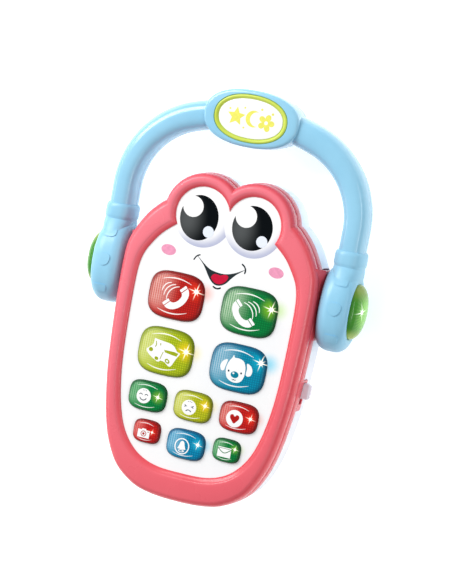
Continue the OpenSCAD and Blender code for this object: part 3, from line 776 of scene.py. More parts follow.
def make_bezel(material):
    rings = [raised(make(*grow), PANEL_Z + height) for make, height, *grow in BEZEL_PROFILE]
    bezel = new_object("front_bezel_shell", loft(rings, closed=True))
    tab = new_object("tab", prism(rim(-BEZEL_SKIN), TAB_Z, PARTING_Z + 0.3))
    combined(tab, "DIFFERENCE", prism(rim(-BEZEL_INSIDE), TAB_Z - 1, PARTING_Z + 1))
    x0, x1 = FLANK_X
    combined(tab, "INTERSECT", rounded_box((x0, TAB_Y[0], TAB_Z), (x1, TAB_Y[1], PARTING_Z + 4), 1.0))
    combined(bezel, "UNION", lug(-1), lug(1), taken(tab))
    slot_hole = rounded_box((x0, SLOT_Y[0], KNOB_Z - SLOT_HALF_Z), (x1, SLOT_Y[1], KNOB_Z + SLOT_HALF_Z),
                            0.8)
    combined(bezel, "DIFFERENCE", slot_hole, pivot_rod(-44, -50, BORE_R), pivot_rod(44, 50, BORE_R))
    finished(bezel, "root", material, ["front_bezel"], sharp=24)


COVER_PROFILE = [
    # how far inside the rim, height
    (6.2, 0.0), (5.0, 0.15), (3.8, 0.55), (2.7, 1.2), (1.8, 2.05), (1.1, 3.1), (0.7, 4.2), (0.5, 5.4),
    (0.5, 18.55), (0.7, 18.75), (2.4, 18.75), (2.5, 18.6), (2.5, 7.0), (3.2, 4.2), (4.6, 2.6), (6.4, 2.0),
]
BACK_Z = 1.9  # just inside the back wall, where ribs and posts start
BELOW_Z = -1
ABOVE_Z = 20
LEDGE_Z = 3.6
RECESS_Z = 2.1
CASE_SPOTS = [(39.5, 17), (-39.5, 17), (27, -82.5), (-27, -82.5)]
CASE_POST = (18.7, 3.6)  # posts and holes: top, radius
CASE_HEAD_HOLE = (11, 2.9)
CASE_SHANK_R = 1.6
DOOR_POST = (10, 3.4)
DOOR_HEAD_R = 4.7
DOOR_SHANK_HOLE = (7, 1.7)
RECESS_RIM = 1.5  # wall round the door's recess
SPEAKER_Y = 24
SPEAKER_R = 14.6
SOUND_HOLE_R = 1.1
SOUND_HOLE_PITCH = 4.2
DOOR_SCREW_Y = -79.6
DOOR_X = (-corners("battery_door")[1].x, corners("battery_door")[1].x)
DOOR_Y = (-76.0, -40.0)
BAY_X = (-29.4, 29.4)
BAY_Y = (-74.6, -41.4)
BAY_ROOF_Z = (17.3, 18.1)
HOOK_SLOTS_X = [(-22.4, -13.6), (13.6, 22.4)]
HOOK_SLOT_Y = (-42.4, -37)
HOOK_SLOT_Z = (LEDGE_Z, 7)
LEFT_WALL_X = (-52, -42.5)
RIGHT_WALL_X = (42.5, 52)
CLEAR = 0.2


def speaker_ring():
    """Low wall that holds the speaker over its grille."""
    wall = new_object("ring", pin(0, SPEAKER_Y, BACK_Z, 6, SPEAKER_R + 1.3, 64))
    return taken(combined(wall, "DIFFERENCE", pin(0, SPEAKER_Y, 1, 7, SPEAKER_R, 64)))


def sound_holes():
    """One hole in the middle, and rings of 6 and 12 around it."""
    places = [(0, SPEAKER_Y)] + [polar(60 * k / ring, SOUND_HOLE_PITCH * ring, 0, SPEAKER_Y)
                                 for ring in (1, 2) for k in range(6 * ring)]
    return [pin(x, y, BELOW_Z, 3, SOUND_HOLE_R, 24) for x, y in places]


def make_rear_cover(material):
    rings = [raised(rim(-inset), height) for inset, height in COVER_PROFILE]
    cover = new_object("rear_cover_shell", loft(rings))
    posts = [block(BAY_X, BAY_Y, (BACK_Z, BAY_ROOF_Z[1]), 1.2),
             block(DOOR_X, DOOR_Y, (BACK_Z, LEDGE_Z), 1.6),
             pin(0, DOOR_SCREW_Y, BACK_Z, LEDGE_Z, DOOR_HEAD_R + RECESS_RIM),
             pin(0, DOOR_SCREW_Y, BACK_Z, *DOOR_POST)]
    posts += [pin(x, y, BACK_Z, *CASE_POST) for x, y in CASE_SPOTS]
    combined(cover, "UNION", *posts, speaker_ring())
    cuts = [block(BAY_X, BAY_Y, (BELOW_Z, BAY_ROOF_Z[0])), block(DOOR_X, DOOR_Y, (BELOW_Z, RECESS_Z), 0.3),
            pin(0, DOOR_SCREW_Y, BELOW_Z, RECESS_Z, DOOR_HEAD_R),
            pin(0, DOOR_SCREW_Y, BELOW_Z, *DOOR_SHANK_HOLE)]
    cuts += [block(x_range, HOOK_SLOT_Y, HOOK_SLOT_Z) for x_range in HOOK_SLOTS_X]
    lug_y, lug_z = (LUG_Y[0] - CLEAR, LUG_Y[1] - 0.3), (LUG_Z[0] - CLEAR, ABOVE_Z)
    cuts += [block(x_range, lug_y, lug_z) for x_range in (LEFT_WALL_X, RIGHT_WALL_X)]
    cuts.append(block(RIGHT_WALL_X, (TAB_Y[0] - CLEAR, TAB_Y[1] + CLEAR), (TAB_Z - CLEAR, ABOVE_Z)))
    for x, y in CASE_SPOTS:
        cuts += [pin(x, y, BELOW_Z, *CASE_HEAD_HOLE), pin(x, y, 10, ABOVE_Z, CASE_SHANK_R)]
    combined(cover, "DIFFERENCE", *cuts, *sound_holes())
    finished(cover, "root", material, ["rear_cover"], sharp=30)


GRIP_OUT = 0.35
GRIP_PITCH = 1.7
GRIP_R = 0.62


def make_power_knob(material):
    """Plate inside the casing, body in the slot and a narrower outer end with three grip grooves."""
    inner, outer = (corner.x for corner in corners("power_knob"))
    steps = [(inner, inner + 1.6, 7.1, 2.6, 0.3), (inner + 1, outer - 0.5, 3.75, 2, 1.0),
             (outer - 3.4, outer, 3.1, 1.5, 0.8)]
    plate, body, end = (rounded_box((x0, KNOB_Y - half_y, KNOB_Z - half_z),
                                    (x1, KNOB_Y + half_y, KNOB_Z + half_z), radius)
                        for x0, x1, half_y, half_z, radius in steps)
    knob = combined(new_object("power_knob_cap", plate), "UNION", body, end)
    grips = [pin(outer + GRIP_OUT, KNOB_Y + GRIP_PITCH * k, KNOB_Z - 3, KNOB_Z + 3, GRIP_R, 20)
             for k in (-1, 0, 1)]
    lever_hole = block((40, 43.4), (KNOB_Y - 1, KNOB_Y + 1), (KNOB_Z - 1, KNOB_Z + 1))
    combined(knob, "DIFFERENCE", *grips, lever_hole)
    finished(knob, "power_knob", material, ["power_knob"], sharp=30)


# ---------------------------------------------------------------- face

EYEBALL_R = 14.4
EYES = [
    # side, eyeball (x, y), lean of its shade, pupil (x, y, rx, ry), large and small glint (x, y, r)
    ("left", (-12.2, 36.0), 0.55, (-14.2, 35.2, 9.5, 10.7), (-18.0, 39.9, 5.0), (-8.5, 29.5, 2.7)),
    ("right", (13.0, 35.9), 0.25, (12.3, 35.4, 9.9, 10.5), (8.4, 40.2, 5.2), (18.0, 30.1, 2.7)),
]
CHEEKS = [(-26.2, 17.5), (27.6, 17.4)]
LIP = [(-11.6, 17.7), (-6.3, 13.7), (-2.9, 12.2), (2.6, 11.7), (7.3, 12.9), (12.4, 15.6)]
JAW = [(12.4, 15.4), (9.2, 12.9), (7.0, 10.6), (4.4, 7.4), (1.6, 5.9), (-1.2, 6.1), (-3.9, 8.4),
       (-7.9, 14.0), (-11.6, 17.5)]
TONGUE = [(-3.1, 8.9), (-2.0, 10.7), (0.0, 10.9), (1.3, 10.7), (2.8, 11.4), (4.6, 11.4), (5.2, 10.2),
          (3.9, 8.0), (1.5, 6.6), (-1.0, 6.9)]
CREASES = [
    # pen lines at the ends of the mouth and under it: width, points
    (0.62, [(-13.0, 15.5), (-12.3, 16.9), (-11.5, 17.7), (-10.5, 18.2)]),
    (0.72, [(10.8, 18.0), (12.1, 17.0), (12.8, 15.6), (12.7, 14.1)]),
    (0.75, [(-1.2, 4.9), (0.0, 4.4), (1.2, 4.4), (2.3, 4.9)]),
]


def make_face():
    ink = ink_material("print_dark", INK)
    cheek = ink_material("print_pink", srgb(242, 160, 192))
    tongue = ink_material("print_tongue", srgb(206, 22, 60))
    glint = ink_material("print_white", WHITE, drift=0.98)
    soft_glint = ink_material("print_pale", srgb(232, 238, 250), drift=0.98)
    shapes = []
    for i, (side, (x, y), lean, pupil, large, small) in enumerate(EYES):
        ball = eyeball_material("eyeball_" + side, x, y, EYEBALL_R, lean)
        shapes += [(ball, 1.0 + i * 0.4, [circle(x, y, EYEBALL_R, 72)]),
                   (pupil_material("pupil_" + side, *pupil[:2]), 2.2, [ellipse(*pupil, 72)]),
                   (glint, 3.2, [circle(*large, 48)]), (soft_glint, 3.2, [circle(*small, 36)])]
    shapes += [(cheek, 1.0, [ellipse(x, y, 3.7, 2.5, 40, turn=-4)]) for x, y in CHEEKS]
    shapes.append((ink, 1.0, [spline(LIP, 8) + spline(JAW, 8)]))
    shapes.append((tongue, 2.0, [spline(TONGUE, 6, closed=True)]))
    shapes += [(ink, 1.0, [curved_stroke(points, width)]) for width, points in CREASES]
    printed("face_print", shapes, lambda x, y: PANEL_Z, "root")


# ---------------------------------------------------------------- buttons

BUTTON_FLANGE = 1.1
FLANGE_Z = PANEL_Z - 2.3
STEM_R = 1.9
BUTTON_SQUARENESS = 3.3
RIB_PITCH = 1.1
DOME_RISE = 0.5
DOME_POWER = 2.4
BUTTON_LOOKS = {
    # slot, tint, pale side (painted sheen), dark ribs and painted edge shade, lit side (painted lamp
    # light), painted star glint (x, y, reach), painted glow on the panel (strength, shift, radius, colour)
    "end_call": ("red_lens", (200, 34, 28), (250, 206, 194), (138, 20, 18), (226, 48, 22),
                 (9.9, 4.1, 4.2), (0.55, 4.0, 6.0, (255, 150, 130))),
    "call": ("green_lens", (0, 134, 60), (214, 236, 206), (0, 92, 48), (122, 186, 34),
             (10.9, 3.5, 4.2), (0.55, 3.2, 6.0, (196, 245, 120))),
    "car": ("lime_lens", (184, 200, 34), (236, 238, 172), (128, 148, 12), (236, 206, 22),
            (10.4, 2.2, 4.2), (0.5, 3.6, 5.6, (255, 238, 130))),
    "dog": ("blue_lens", (0, 148, 178), (190, 216, 232), (0, 96, 132), (0, 168, 198),
            (10.9, 5.0, 4.2), (0.75, 3.6, 6.6, (110, 218, 248))),
    "smile": ("green_lens", (0, 138, 66), (150, 206, 160), (0, 92, 44), (110, 176, 50),
              (5.6, 0.6, 2.6), (0.35, 3.0, 4.4, (190, 240, 150))),
    "sad": ("lime_lens", (194, 200, 34), (234, 236, 170), (138, 146, 12), (236, 202, 24),
            (6.3, 1.8, 2.6), (0.45, 2.6, 4.4, (255, 236, 130))),
    "heart": ("red_lens", (208, 30, 26), (238, 168, 160), (140, 18, 18), (228, 44, 24),
              (6.2, 0.7, 2.6), (0.5, 2.8, 4.6, (255, 160, 140))),
    "camera": ("red_lens", (206, 30, 28), (232, 140, 134), (140, 18, 18), (224, 42, 26),
               (3.2, 0.3, 1.7), None),
    "bell": ("blue_lens", (0, 144, 186), (168, 214, 236), (0, 92, 134), (30, 176, 210),
             (6.3, 1.4, 2.6), (0.6, 2.8, 4.8, (120, 216, 250))),
    "mail": ("green_lens", (0, 134, 62), (146, 202, 156), (0, 90, 42), (90, 170, 50),
             (4.4, 1.7, 2.0), (0.4, 1.8, 3.6, (204, 240, 140))),
}
CAP_STEPS = [
    # share of the full outline, how far below the dome
    (1.0, 1.25), (0.99, 0.85), (0.965, 0.5), (0.93, 0.27), (0.885, 0.12), (0.83, 0.03), (0.74, 0),
    (0.6, 0), (0.42, 0), (0.22, 0), (0.08, 0),
]
ICON_SPACING = 0.9


def button_top(name):
    """Height of the button's domed top as a function of the place, its centre, and its width and height."""
    low, high = corners(name + "_button")
    cx, cy = (low.x + high.x) / 2, (low.y + high.y) / 2
    half_w, half_h = (high.x - low.x) / 2 - BUTTON_FLANGE, (high.y - low.y) / 2 - BUTTON_FLANGE
    n = BUTTON_SQUARENESS

    def height(x, y):
        s = (abs((x - cx) / half_w) ** n + abs((y - cy) / half_h) ** n) ** (1 / n)
        return high.z - DOME_RISE * s ** DOME_POWER
    return height, (cx, cy), (2 * half_w, 2 * half_h)


def make_button(name):
    _, (cx, cy), (w, h) = button_top(name)
    low, high = corners(name + "_button")

    def grown_outline(grow):
        return superellipse(w + grow, h + grow, BUTTON_SQUARENESS, centre=(cx, cy))
    body, stem, flange = grown_outline(0), circle(cx, cy, STEM_R, 72), grown_outline(2 * BUTTON_FLANGE)
    # The skirt fills the gap to the panel's hole and takes the painted outline shade.
    skirt = grown_outline(0.5)
    rings = [raised(stem, low.z), raised(stem, FLANGE_Z - 1.2), raised(flange, FLANGE_Z - 1.2),
             raised(flange, FLANGE_Z - 0.3), raised(grown_outline(1.8), FLANGE_Z), raised(skirt, FLANGE_Z),
             raised(skirt, PANEL_Z + 0.25)]
    for share, drop in CAP_STEPS:
        z = high.z - DOME_RISE * share ** DOME_POWER - drop
        rings.append(raised(scaled(body, share, (cx, cy)), z))
    material = button_material(name, (cx, cy, PANEL_Z), w, h)
    finished(new_object(name + "_lens", loft(rings)), name, material,
             [name + "_button"], sharp=40)


# Icons: rows of (kind, outline, holes), each about the icon's own centre

def handset(angle, flip, centre):
    """Telephone handset. flip -1 mirrors it."""
    bow = [(7.1 * p.x, 4.9 * p.y) for p in arc(0, 0, 1, 180, 360, 15)]
    bow += [(3.4 * p.x, 1.9 * p.y) for p in arc(0, 0, 1, 360, 180, 15)]
    cap = [(3.5, 0.4), (7.1, 0.4), (7.2, 1.5), (6.9, 1.75), (3.7, 1.75), (3.4, 1.5)]
    return [("icon", turned(part, angle, flip, centre))
            for part in (bow, [(-x, y) for x, y in cap], cap)]


def phone_icon(flip):
    """Handset and three sound arcs."""
    waves = ((2.2, -1.4, 6.2, 98, 186), (0.2, -0.2, 5.7, 98, 182), (-2.2, 1.6, 4.5, 99, 180))
    return handset(45, flip, (0.6 * flip, -0.4)) + [
        ("line", stroke(turned(arc(*wave), 0, flip), 0.55, 0.6)) for wave in waves]


def car_icon():
    rear = [(-5.9, 3.9), (-6.4, 2.3), (-8.1, 0.65), (-9.1, -0.4), (-8.5, -1.6), (-7.0, -2.9), (-4.4, -4.4),
            (-2.4, -5.2), (-1.2, -4.4), (0.8, -4.7)]
    front = [(0.8, -4.7), (3.0, -6.2), (4.4, -5.8), (6.2, -2.1), (7.7, 0.7), (6.1, 1.4), (4.2, 3.6),
             (2.0, 4.5), (-1.2, 4.9), (-4.4, 5.3), (-6.0, 5.5)]
    strip = [(-0.3, 1.0), (4.8, 1.0), (6.9, 0.6), (6.2, -0.9), (4.1, -0.7), (0.2, -0.1)]
    return [("icon", spline(rear, 5) + spline(front, 5)[1:]),
            ("tint", ellipse(-6.9, -0.1, 1.05, 1.0, 24)),
            ("tint", strip),
            ("tint", ellipse(-3.4, -3.7, 1.0, 0.8, 24, -20)),
            ("tint", ellipse(2.1, -4.0, 1.35, 1.0, 24, -35)),
            ("shine", ellipse(2.1, -4.0, 0.6, 0.42, 20, -35)),
            ("tint", curved_stroke([(-0.6, -0.2), (-1.2, -2.0), (-1.6, -3.8)], 0.32)),
            ("tint", curved_stroke([(-4.9, 4.2), (-4.6, 2.6), (-5.0, 1.6)], 0.4)),
            ("tint", curved_stroke([(-2.6, 3.6), (-2.5, 3.2), (-2.5, 2.8)], 0.4))]


def dog_icon():
    head = [(-4.2, 2.9), (-3.2, 4.4), (-2.5, 6.0), (-1.8, 4.9), (0.4, 4.9), (2.8, 3.9), (4.1, 1.3),
            (4.2, -2.6), (2.9, -5.6), (0.2, -6.7), (-2.6, -6.1), (-4.4, -4.4), (-5.2, -0.6)]
    ear = [(-5.1, 3.3), (-7.2, 2.3), (-8.2, -0.1), (-7.3, -2.2), (-6.1, -1.9), (-5.7, -0.3)]
    other = [(4.5, 3.3), (6.5, 2.6), (7.6, 0.6), (7.3, -1.6), (6.0, -2.5), (4.8, -1.9), (4.9, 0.8)]
    return [("icon", spline(points, 6, True)) for points in (head, ear, other)] + [
        ("ink", ellipse(-3.7, -1.7, 0.45, 0.5, 20)), ("ink", ellipse(2.5, -1.7, 0.45, 0.5, 20)),
        ("tint", ellipse(-0.5, -3.0, 1.95, 1.55, 36)), ("shine", ellipse(-1.2, -2.4, 0.55, 0.4, 20)),
        ("ink", curved_stroke([(-1.4, -5.3), (-0.9, -5.6), (-0.5, -5.2)], 0.28)),
        ("ink", curved_stroke([(-0.5, -5.2), (-0.1, -5.6), (0.5, -5.3)], 0.28))]


def head_shapes():
    """Round head with three hairs."""
    hairs = [("ink", circle(*polar(angle, 2.8), 0.2, 12)) for angle in (70, 88, 106)]
    return [("icon", circle(0, 0, 3.6, 44))] + hairs


def smile_icon():
    eyes = [("ink", stroke(arc(x, 0.2, 0.75, 20, 160, 8), 0.34)) for x in (-1.5, 1.3)]
    return head_shapes() + eyes + [("ink", stroke(arc(-0.1, -0.3, 1.75, 205, 335, 12), 0.42))]


def sad_icon():
    lids = [("ink", stroke([(x - 0.75 * lean, 0.5 + tilt), (x, 0.45), (x + 0.35 * lean, 0.4)], 0.32))
            for x, lean in ((-1.5, 1), (1.4, -1)) for tilt in (0.45, -0.45)]
    return head_shapes() + lids + [("ink", stroke(arc(0, -2.7, 1.45, 35, 145, 12), 0.42))]


def heart_icon():
    heart = both_sides([(0, 1.0), (0.9, 1.9), (2.1, 1.5), (2.2, 0.2), (1.2, -1.2), (0, -2.3)])
    return [("icon", circle(0, 0, 4.1, 44)), ("tint", spline(heart, 6, True))]


def camera_icon():
    case = [(-3.0, -2.2), (3.0, -2.2), (3.0, 1.6), (1.2, 1.6), (0.9, 2.2), (-0.9, 2.2), (-1.2, 1.6),
            (-3.0, 1.6)]
    return [("icon", case), ("tint", circle(0, -0.2, 1.4, 28), circle(0, -0.2, 1.08, 28)),
            ("tint", circle(0, -0.2, 0.6, 20)), ("tint", circle(2.2, 0.9, 0.28, 14))]


def bell_icon():
    bell = both_sides([(0, 2.6), (0.9, 2.0), (1.3, 0.6), (1.9, -0.9), (1.9, -1.3), (0, -1.5)])
    return [("icon", ellipse(0, 0, 3.7, 3.9, 48), ellipse(0, 0, 3.15, 3.35, 48)),
            ("icon", spline(bell, 6, True)), ("icon", ellipse(0, -2.2, 1.5, 0.62, 24)),
            ("tint", ellipse(-0.1, -2.2, 0.75, 0.3, 20))]


def mail_icon():
    fold = [(-3.1, 1.5), (-1.2, 0.1), (0, -0.3), (1.2, 0.1), (3.1, 1.5)]
    return [("icon", [(-3.3, -2.35), (3.3, -2.35), (3.3, 2.35), (-3.3, 2.35)]),
            ("tint", curved_stroke(fold, 0.36)),
            ("tint", stroke([(-3.1, 1.75), (0, 1.85), (3.1, 1.75)], 0.2))]


ICONS = {
    # what draws the icon, its centre on the button
    "end_call": (lambda: phone_icon(1), (0, 0)), "call": (lambda: phone_icon(-1), (-1.2, -0.6)),
    "car": (car_icon, (0, 0)), "dog": (dog_icon, (0, 0)), "smile": (smile_icon, (-1.4, -0.1)),
    "sad": (sad_icon, (-1.3, -0.5)), "heart": (heart_icon, (-1.4, -0.7)),
    "camera": (camera_icon, (-0.9, -0.9)), "bell": (bell_icon, (-1.2, -0.9)),
    "mail": (mail_icon, (-0.5, -0.7)),
}


def painted_reflection_lines(w, h):
    """Two thin painted reflections: pale lines along the upper and lower edge of a button's top."""
    lines = []
    for side in (1, -1):
        y, bend = side * 0.7 * h / 2, side * 0.055 * h
        points = [(w / 2 * u, y + bend * (0.6 - 4 * (u + 0.05) ** 2))
                  for u in (-0.58, -0.32, -0.06, 0.22, 0.53)]
        lines.append(("line", curved_stroke(points, 0.05 * h ** 0.8, 0.15)))
    return lines


def make_icon(name, white, ink):
    height, centre, (w, h) = button_top(name)
    _, tint, pale, *_ = BUTTON_LOOKS[name]
    whiter = tuple((2.2 + c) / 3.2 for c in srgb(*pale)[:3]) + (1,)
    # this print holds the phone icons' sound arcs and also the painted reflection lines
    line = ink_material("print_and_reflection_line_" + name, whiter, drift=0.97)
    accent = ink_material("print_tint_" + name, dimmed(srgb(*tint), 0.75))
    use = {"icon": (white, 1), "line": (line, 1), "tint": (accent, 2), "ink": (ink, 2), "shine": (white, 3)}
    draw, offset = ICONS[name]
    rows = [(kind, [shifted(loop, offset) for loop in loops]) for kind, *loops in draw()]
    # painted reflections along the top's upper and lower edges
    rows += [(kind, loops) for kind, *loops in painted_reflection_lines(w, h)]
    shapes = [(*use[kind], [shifted(loop, centre) for loop in loops]) for kind, loops in rows]
    printed(name + "_icon", shapes, height, name, spacing=ICON_SPACING)


# ---------------------------------------------------------------- handle

LEG_X = 57.8
LEG_Y = (27.6, 43)
CORNER_R = 40
CORNER_X = LEG_X - CORNER_R
TOP_RISE = 3
TOP_DROP = (CORNER_X ** 2 - TOP_RISE ** 2) / (2 * TOP_RISE)
TOP_R = CORNER_R + TOP_DROP + TOP_RISE
TOP_ANGLE = math.degrees(math.atan2(CORNER_X, TOP_DROP))
LEG_STEPS = 4
CORNER_STEPS = 26
TOP_STEPS = 10
LEG_W = 12.4
TOP_W = 14.2
TUBE_T = 17
TUBE_POWER = 0.76
SEAM = 0.25
BADGE_Y = sum(corner.y for corner in corners("badge_plate")) / 2
BADGE_W = 47
BADGE_H = 27
BADGE_N = 2.2
SCREW_ANGLE = 34
SCREW_X = 16
SCREW_HOLE_R = 1.9


def arch_stations():
    """Centre line of the handle and its outward direction, from the right leg over to the left."""
    leg = LEG_Y[1] - LEG_Y[0]
    right = [(Vector((LEG_X, LEG_Y[0] + leg * k / LEG_STEPS)), 0) for k in range(LEG_STEPS)]
    for k in range(CORNER_STEPS + 1):
        angle = (90 - TOP_ANGLE) * k / CORNER_STEPS
        right.append((polar(angle, CORNER_R, CORNER_X, LEG_Y[1]), angle))
    for k in range(1, TOP_STEPS + 1):
        angle = 90 - TOP_ANGLE + TOP_ANGLE * k / TOP_STEPS
        right.append((polar(angle, TOP_R, 0, LEG_Y[1] - TOP_DROP), angle))
    return right + [(Vector((-p.x, p.y)), 180 - angle) for p, angle in reversed(right[:-1])]


def tube_half(up):
    """Front (up 1) or rear (up -1) half of the handle's tube, a little wider towards the top."""
    section = [(1, 0, -SEAM)]
    for i in range(25):
        c, s = math.cos(math.pi * i / 24), math.sin(math.pi * i / 24)
        rise = max(TUBE_T / 2 * abs(s) ** TUBE_POWER, SEAM)
        section.append((math.copysign(abs(c) ** TUBE_POWER, c), rise, 0))
    section.append((-1, 0, SEAM))
    rings = []
    for place, angle in arch_stations():
        out = polar(angle)
        share = min(1, (90 - abs(angle - 90)) / (90 - TOP_ANGLE))
        half = (LEG_W + (TOP_W - LEG_W) * share) / 2
        rings.append([Vector((*(place + (half * across + seam) * out), HINGE.z + up * rise))
                      for across, rise, seam in section])
    return loft(rings)


def badge_block(profile):
    """Block round the badge from rows of (how far outwards, height)."""
    return loft([raised(superellipse(BADGE_W + 2 * grow, BADGE_H + 2 * grow, 2.3, 96, (0, BADGE_Y)), z)
                 for grow, z in profile])


def badge_oval(w, h):
    return superellipse(w, h, BADGE_N, 96, (0, BADGE_Y))


def make_handle(material):
    z = HINGE.z
    front = new_object("handle_front_shell", tube_half(1))
    combined(front, "UNION", badge_block([(-SEAM, z), (0, z + SEAM), (0, 23.7), (-0.15, 24.3),
                                          (-0.5, 24.85), (-1.0, 25.2), (-1.7, 25.4)]))
    seat, lip = badge_oval(36.1, 22.5), badge_oval(36.7, 23.1)
    combined(front, "DIFFERENCE", loft([raised(seat, 23.5), raised(seat, 25.0), raised(lip, 25.6),
                                        raised(lip, 27)]))
    finished(front, "handle", material, ["handle_front"], sharp=28)
    rear = new_object("handle_rear_shell", tube_half(-1))
    combined(rear, "UNION", badge_block([(-0.6 - SEAM, z), (-0.6, z - SEAM), (-0.6, 7.6), (-0.8, 6.9),
                                         (-1.3, 6.3), (-2.2, 6.02)]))
    screws = (polar(SCREW_ANGLE, CORNER_R, CORNER_X, LEG_Y[1]), (SCREW_X, BADGE_Y))
    combined(rear, "DIFFERENCE", *(pin(side * x, y, 0, 11, SCREW_HOLE_R, 32)
                                   for side in (-1, 1) for x, y in screws))
    finished(rear, "handle", material, ["handle_rear"], sharp=28)


BAND_PROFILE = [
    # width, height in Y, Z
    (36.0, 22.4, 23.6), (36.0, 22.4, 24.9), (35.5, 21.9, 25.4), (34.8, 21.2, 25.6), (33.8, 20.4, 25.6),
    (32.9, 19.6, 25.35), (32.1, 18.8, 24.9), (31.7, 18.45, 24.6), (31.7, 18.45, 23.6),
]
PLATE_W = 31.6
PLATE_H = 18.4
PLATE_LOW_Z = 23.6
PLATE_Z = 24.85
PLATE_PROFILE = [(1.0, 0), (0.99, 0.2), (0.9, 0.36), (0.7, 0.52), (0.4, 0.6), (0.1, 0.62)]  # share, rise
STAR = (-7.0, 85.0, 4.6, 0.48)
FLOWER = (7.9, 84.4)
BADGE_DOTS = [(-10.6, 88.2, 0.5), (-3.4, 89.6, 0.45), (4.9, 90.2, 0.55), (10.4, 88.9, 0.6),
              (-2.6, 80.4, 0.45)]


def plate_height(x, y):
    """Height of the badge plate's dome."""
    s = (abs(2 * x / PLATE_W) ** BADGE_N + abs(2 * (y - BADGE_Y) / PLATE_H) ** BADGE_N) ** (1 / BADGE_N)
    for (outer, low), (inner, high) in zip(PLATE_PROFILE, PLATE_PROFILE[1:]):
        if s >= inner:
            return PLATE_Z + low + (high - low) * (outer - s) / (outer - inner)
    return PLATE_Z + PLATE_PROFILE[-1][1]


def star_shape(x, y, r, depth):
    """Star with five points."""
    return [polar(90 + 36 * k, r * depth if k % 2 else r, x, y) for k in range(10)]


def flower_shape(x, y):
    """Flower with five petals."""
    return [polar(3.6 * k, 1.9 + 2.2 * abs(math.cos(math.radians(9 * k))) ** 0.7, x, y) for k in range(100)]


def make_badge():
    lime = moulded("ring_lime", srgb(206, 222, 92), srgb(190, 208, 66), low=0.25, high=0.35).material
    band = loft([raised(badge_oval(w, h), z) for w, h, z in BAND_PROFILE], closed=True)
    finished(new_object("badge_ring_band", band), "handle", lime, ["badge_ring"])
    white = moulded("badge_white", WHITE, srgb(246, 248, 244), low=0.2, high=0.28, wear=0.02).material
    base = badge_oval(PLATE_W, PLATE_H)
    rings = [raised(base, PLATE_LOW_Z)]
    rings += [raised(scaled(base, share, (0, BADGE_Y)), PLATE_Z + rise) for share, rise in PLATE_PROFILE]
    finished(new_object("badge_plate_dome", loft(rings)), "handle", white, ["badge_plate"])
    moon = arc(1.6, 85.2, 3.9, 60, 300, 26) + arc(3.2, 85.2, 3.35, 288, 72, 22)
    loops = [[star_shape(*STAR)], [moon], [flower_shape(*FLOWER), circle(*FLOWER, 0.9, 20)]]
    loops += [[circle(*dot, 16)] for dot in BADGE_DOTS]
    yellow = ink_material("print_yellow", srgb(240, 236, 108), drift=0.93)
    printed("badge_print", [(yellow, 1, loop) for loop in loops], plate_height, "handle",
            spacing=1.5)


# ---------------------------------------------------------------- ear cups

CUP_RY = 20.5
CUP_RZ = 14.6
CUP_N = 2.15
CUP_POINTS = 112
COVER_X = 49.3
CUP_X = 51.3
CUP_FACE_X = 64.4
CUP_EDGE_INSET = 5
CUP_EDGE_X = COVER_X + CUP_EDGE_INSET + 1
CUP_SHOULDER = 6.0
SHAFT_R = 5
CLIP_GROOVE = (43.9, 44.9, 4.1)  # X from, X to, radius at its bottom
WIRE_BORE_R = 1.9
LENS_RY = 13.2
LENS_RZ = 11.2
LENS_TIP_X = corners("ear_lens_right")[1].x
LENS_EDGE_X = CUP_FACE_X - 0.4
LENS_LAST_ANGLE = 88
COLLAR_N = 2.5
COLLAR_PROFILE = [
    # Y, width, thickness
    (16.0, 11.4, 24.0), (18.0, 12.4, 23.8), (20.0, 13.3, 23.2), (22.0, 13.9, 22.0), (24.0, 14.2, 20.3),
    (25.3, 14.1, 18.8), (26.1, 13.8, 17.9), (26.6, 14.1, 18.1), (27.2, 14.6, 18.6), (28.0, 14.8, 18.8),
    (31.4, 14.8, 18.8), (32.4, 14.6, 18.6), (33.2, 14.0, 18.0), (33.6, 13.3, 17.4), (33.6, 12.5, 17.1),
    (33.2, 12.4, 17.0),
]
PADS = [
    # outline on the front of the cup: X from the cup's inner side, Y from the pivot
    [(3.4, 12.6), (3.4, 15.6), (10.0, 15.6), (10.0, 11.6), (5.2, 11.6)],
    [(3.4, 2.6), (5.0, 3.6), (8.2, 3.6), (9.8, 2.6), (9.6, 0.0), (8.2, -2.0), (6.4, -2.6), (4.4, -1.6),
     (3.4, 0.4)],
    [(3.6, -11.8), (10.2, -11.8), (9.6, -15.4), (4.2, -15.4)],
]
PAD_RISE = 0.42
PAD_CORNER_R = 1.1


def oval(x, ry, rz):
    flat = superellipse(2 * ry, 2 * rz, CUP_N, CUP_POINTS)
    return [Vector((x, HINGE.y + p.x, HINGE.z + p.y)) for p in flat]


def inner_edge(start, end, swell=0, steps=8):
    """Rings of the rounded edge that faces the phone."""
    rings = []
    for k in range(steps + 1):
        x = start + (end - start) * k / steps
        slope = (CUP_EDGE_X - x) / (CUP_EDGE_X - COVER_X)
        inset = CUP_EDGE_INSET * (1 - math.sqrt(max(0, 1 - slope ** 2)))
        rings.append(oval(x, CUP_RY - inset + swell, CUP_RZ - inset + swell))
    return rings


def cup_body(swell=0):
    """Closed shell of an ear cup. swell makes it larger all round."""
    rings = inner_edge(CUP_X + 0.04, CUP_EDGE_X, swell)
    for k in range(13):
        angle = math.radians(90 * k / 12)
        share = 0.9 * (1 - math.cos(angle))
        ry, rz = ((full + swell) * (1 - share) + lens * share
                  for full, lens in ((CUP_RY, LENS_RY), (CUP_RZ, LENS_RZ)))
        rings.append(oval(CUP_FACE_X - CUP_SHOULDER * (1 - math.sin(angle)), ry, rz))
    for depth, gap in ((0.15, 0.35), (0.6, 0.1), (2.6, 0.1)):
        rings.append(oval(CUP_FACE_X - depth, LENS_RY + gap, LENS_RZ + gap))
    return loft(rings)


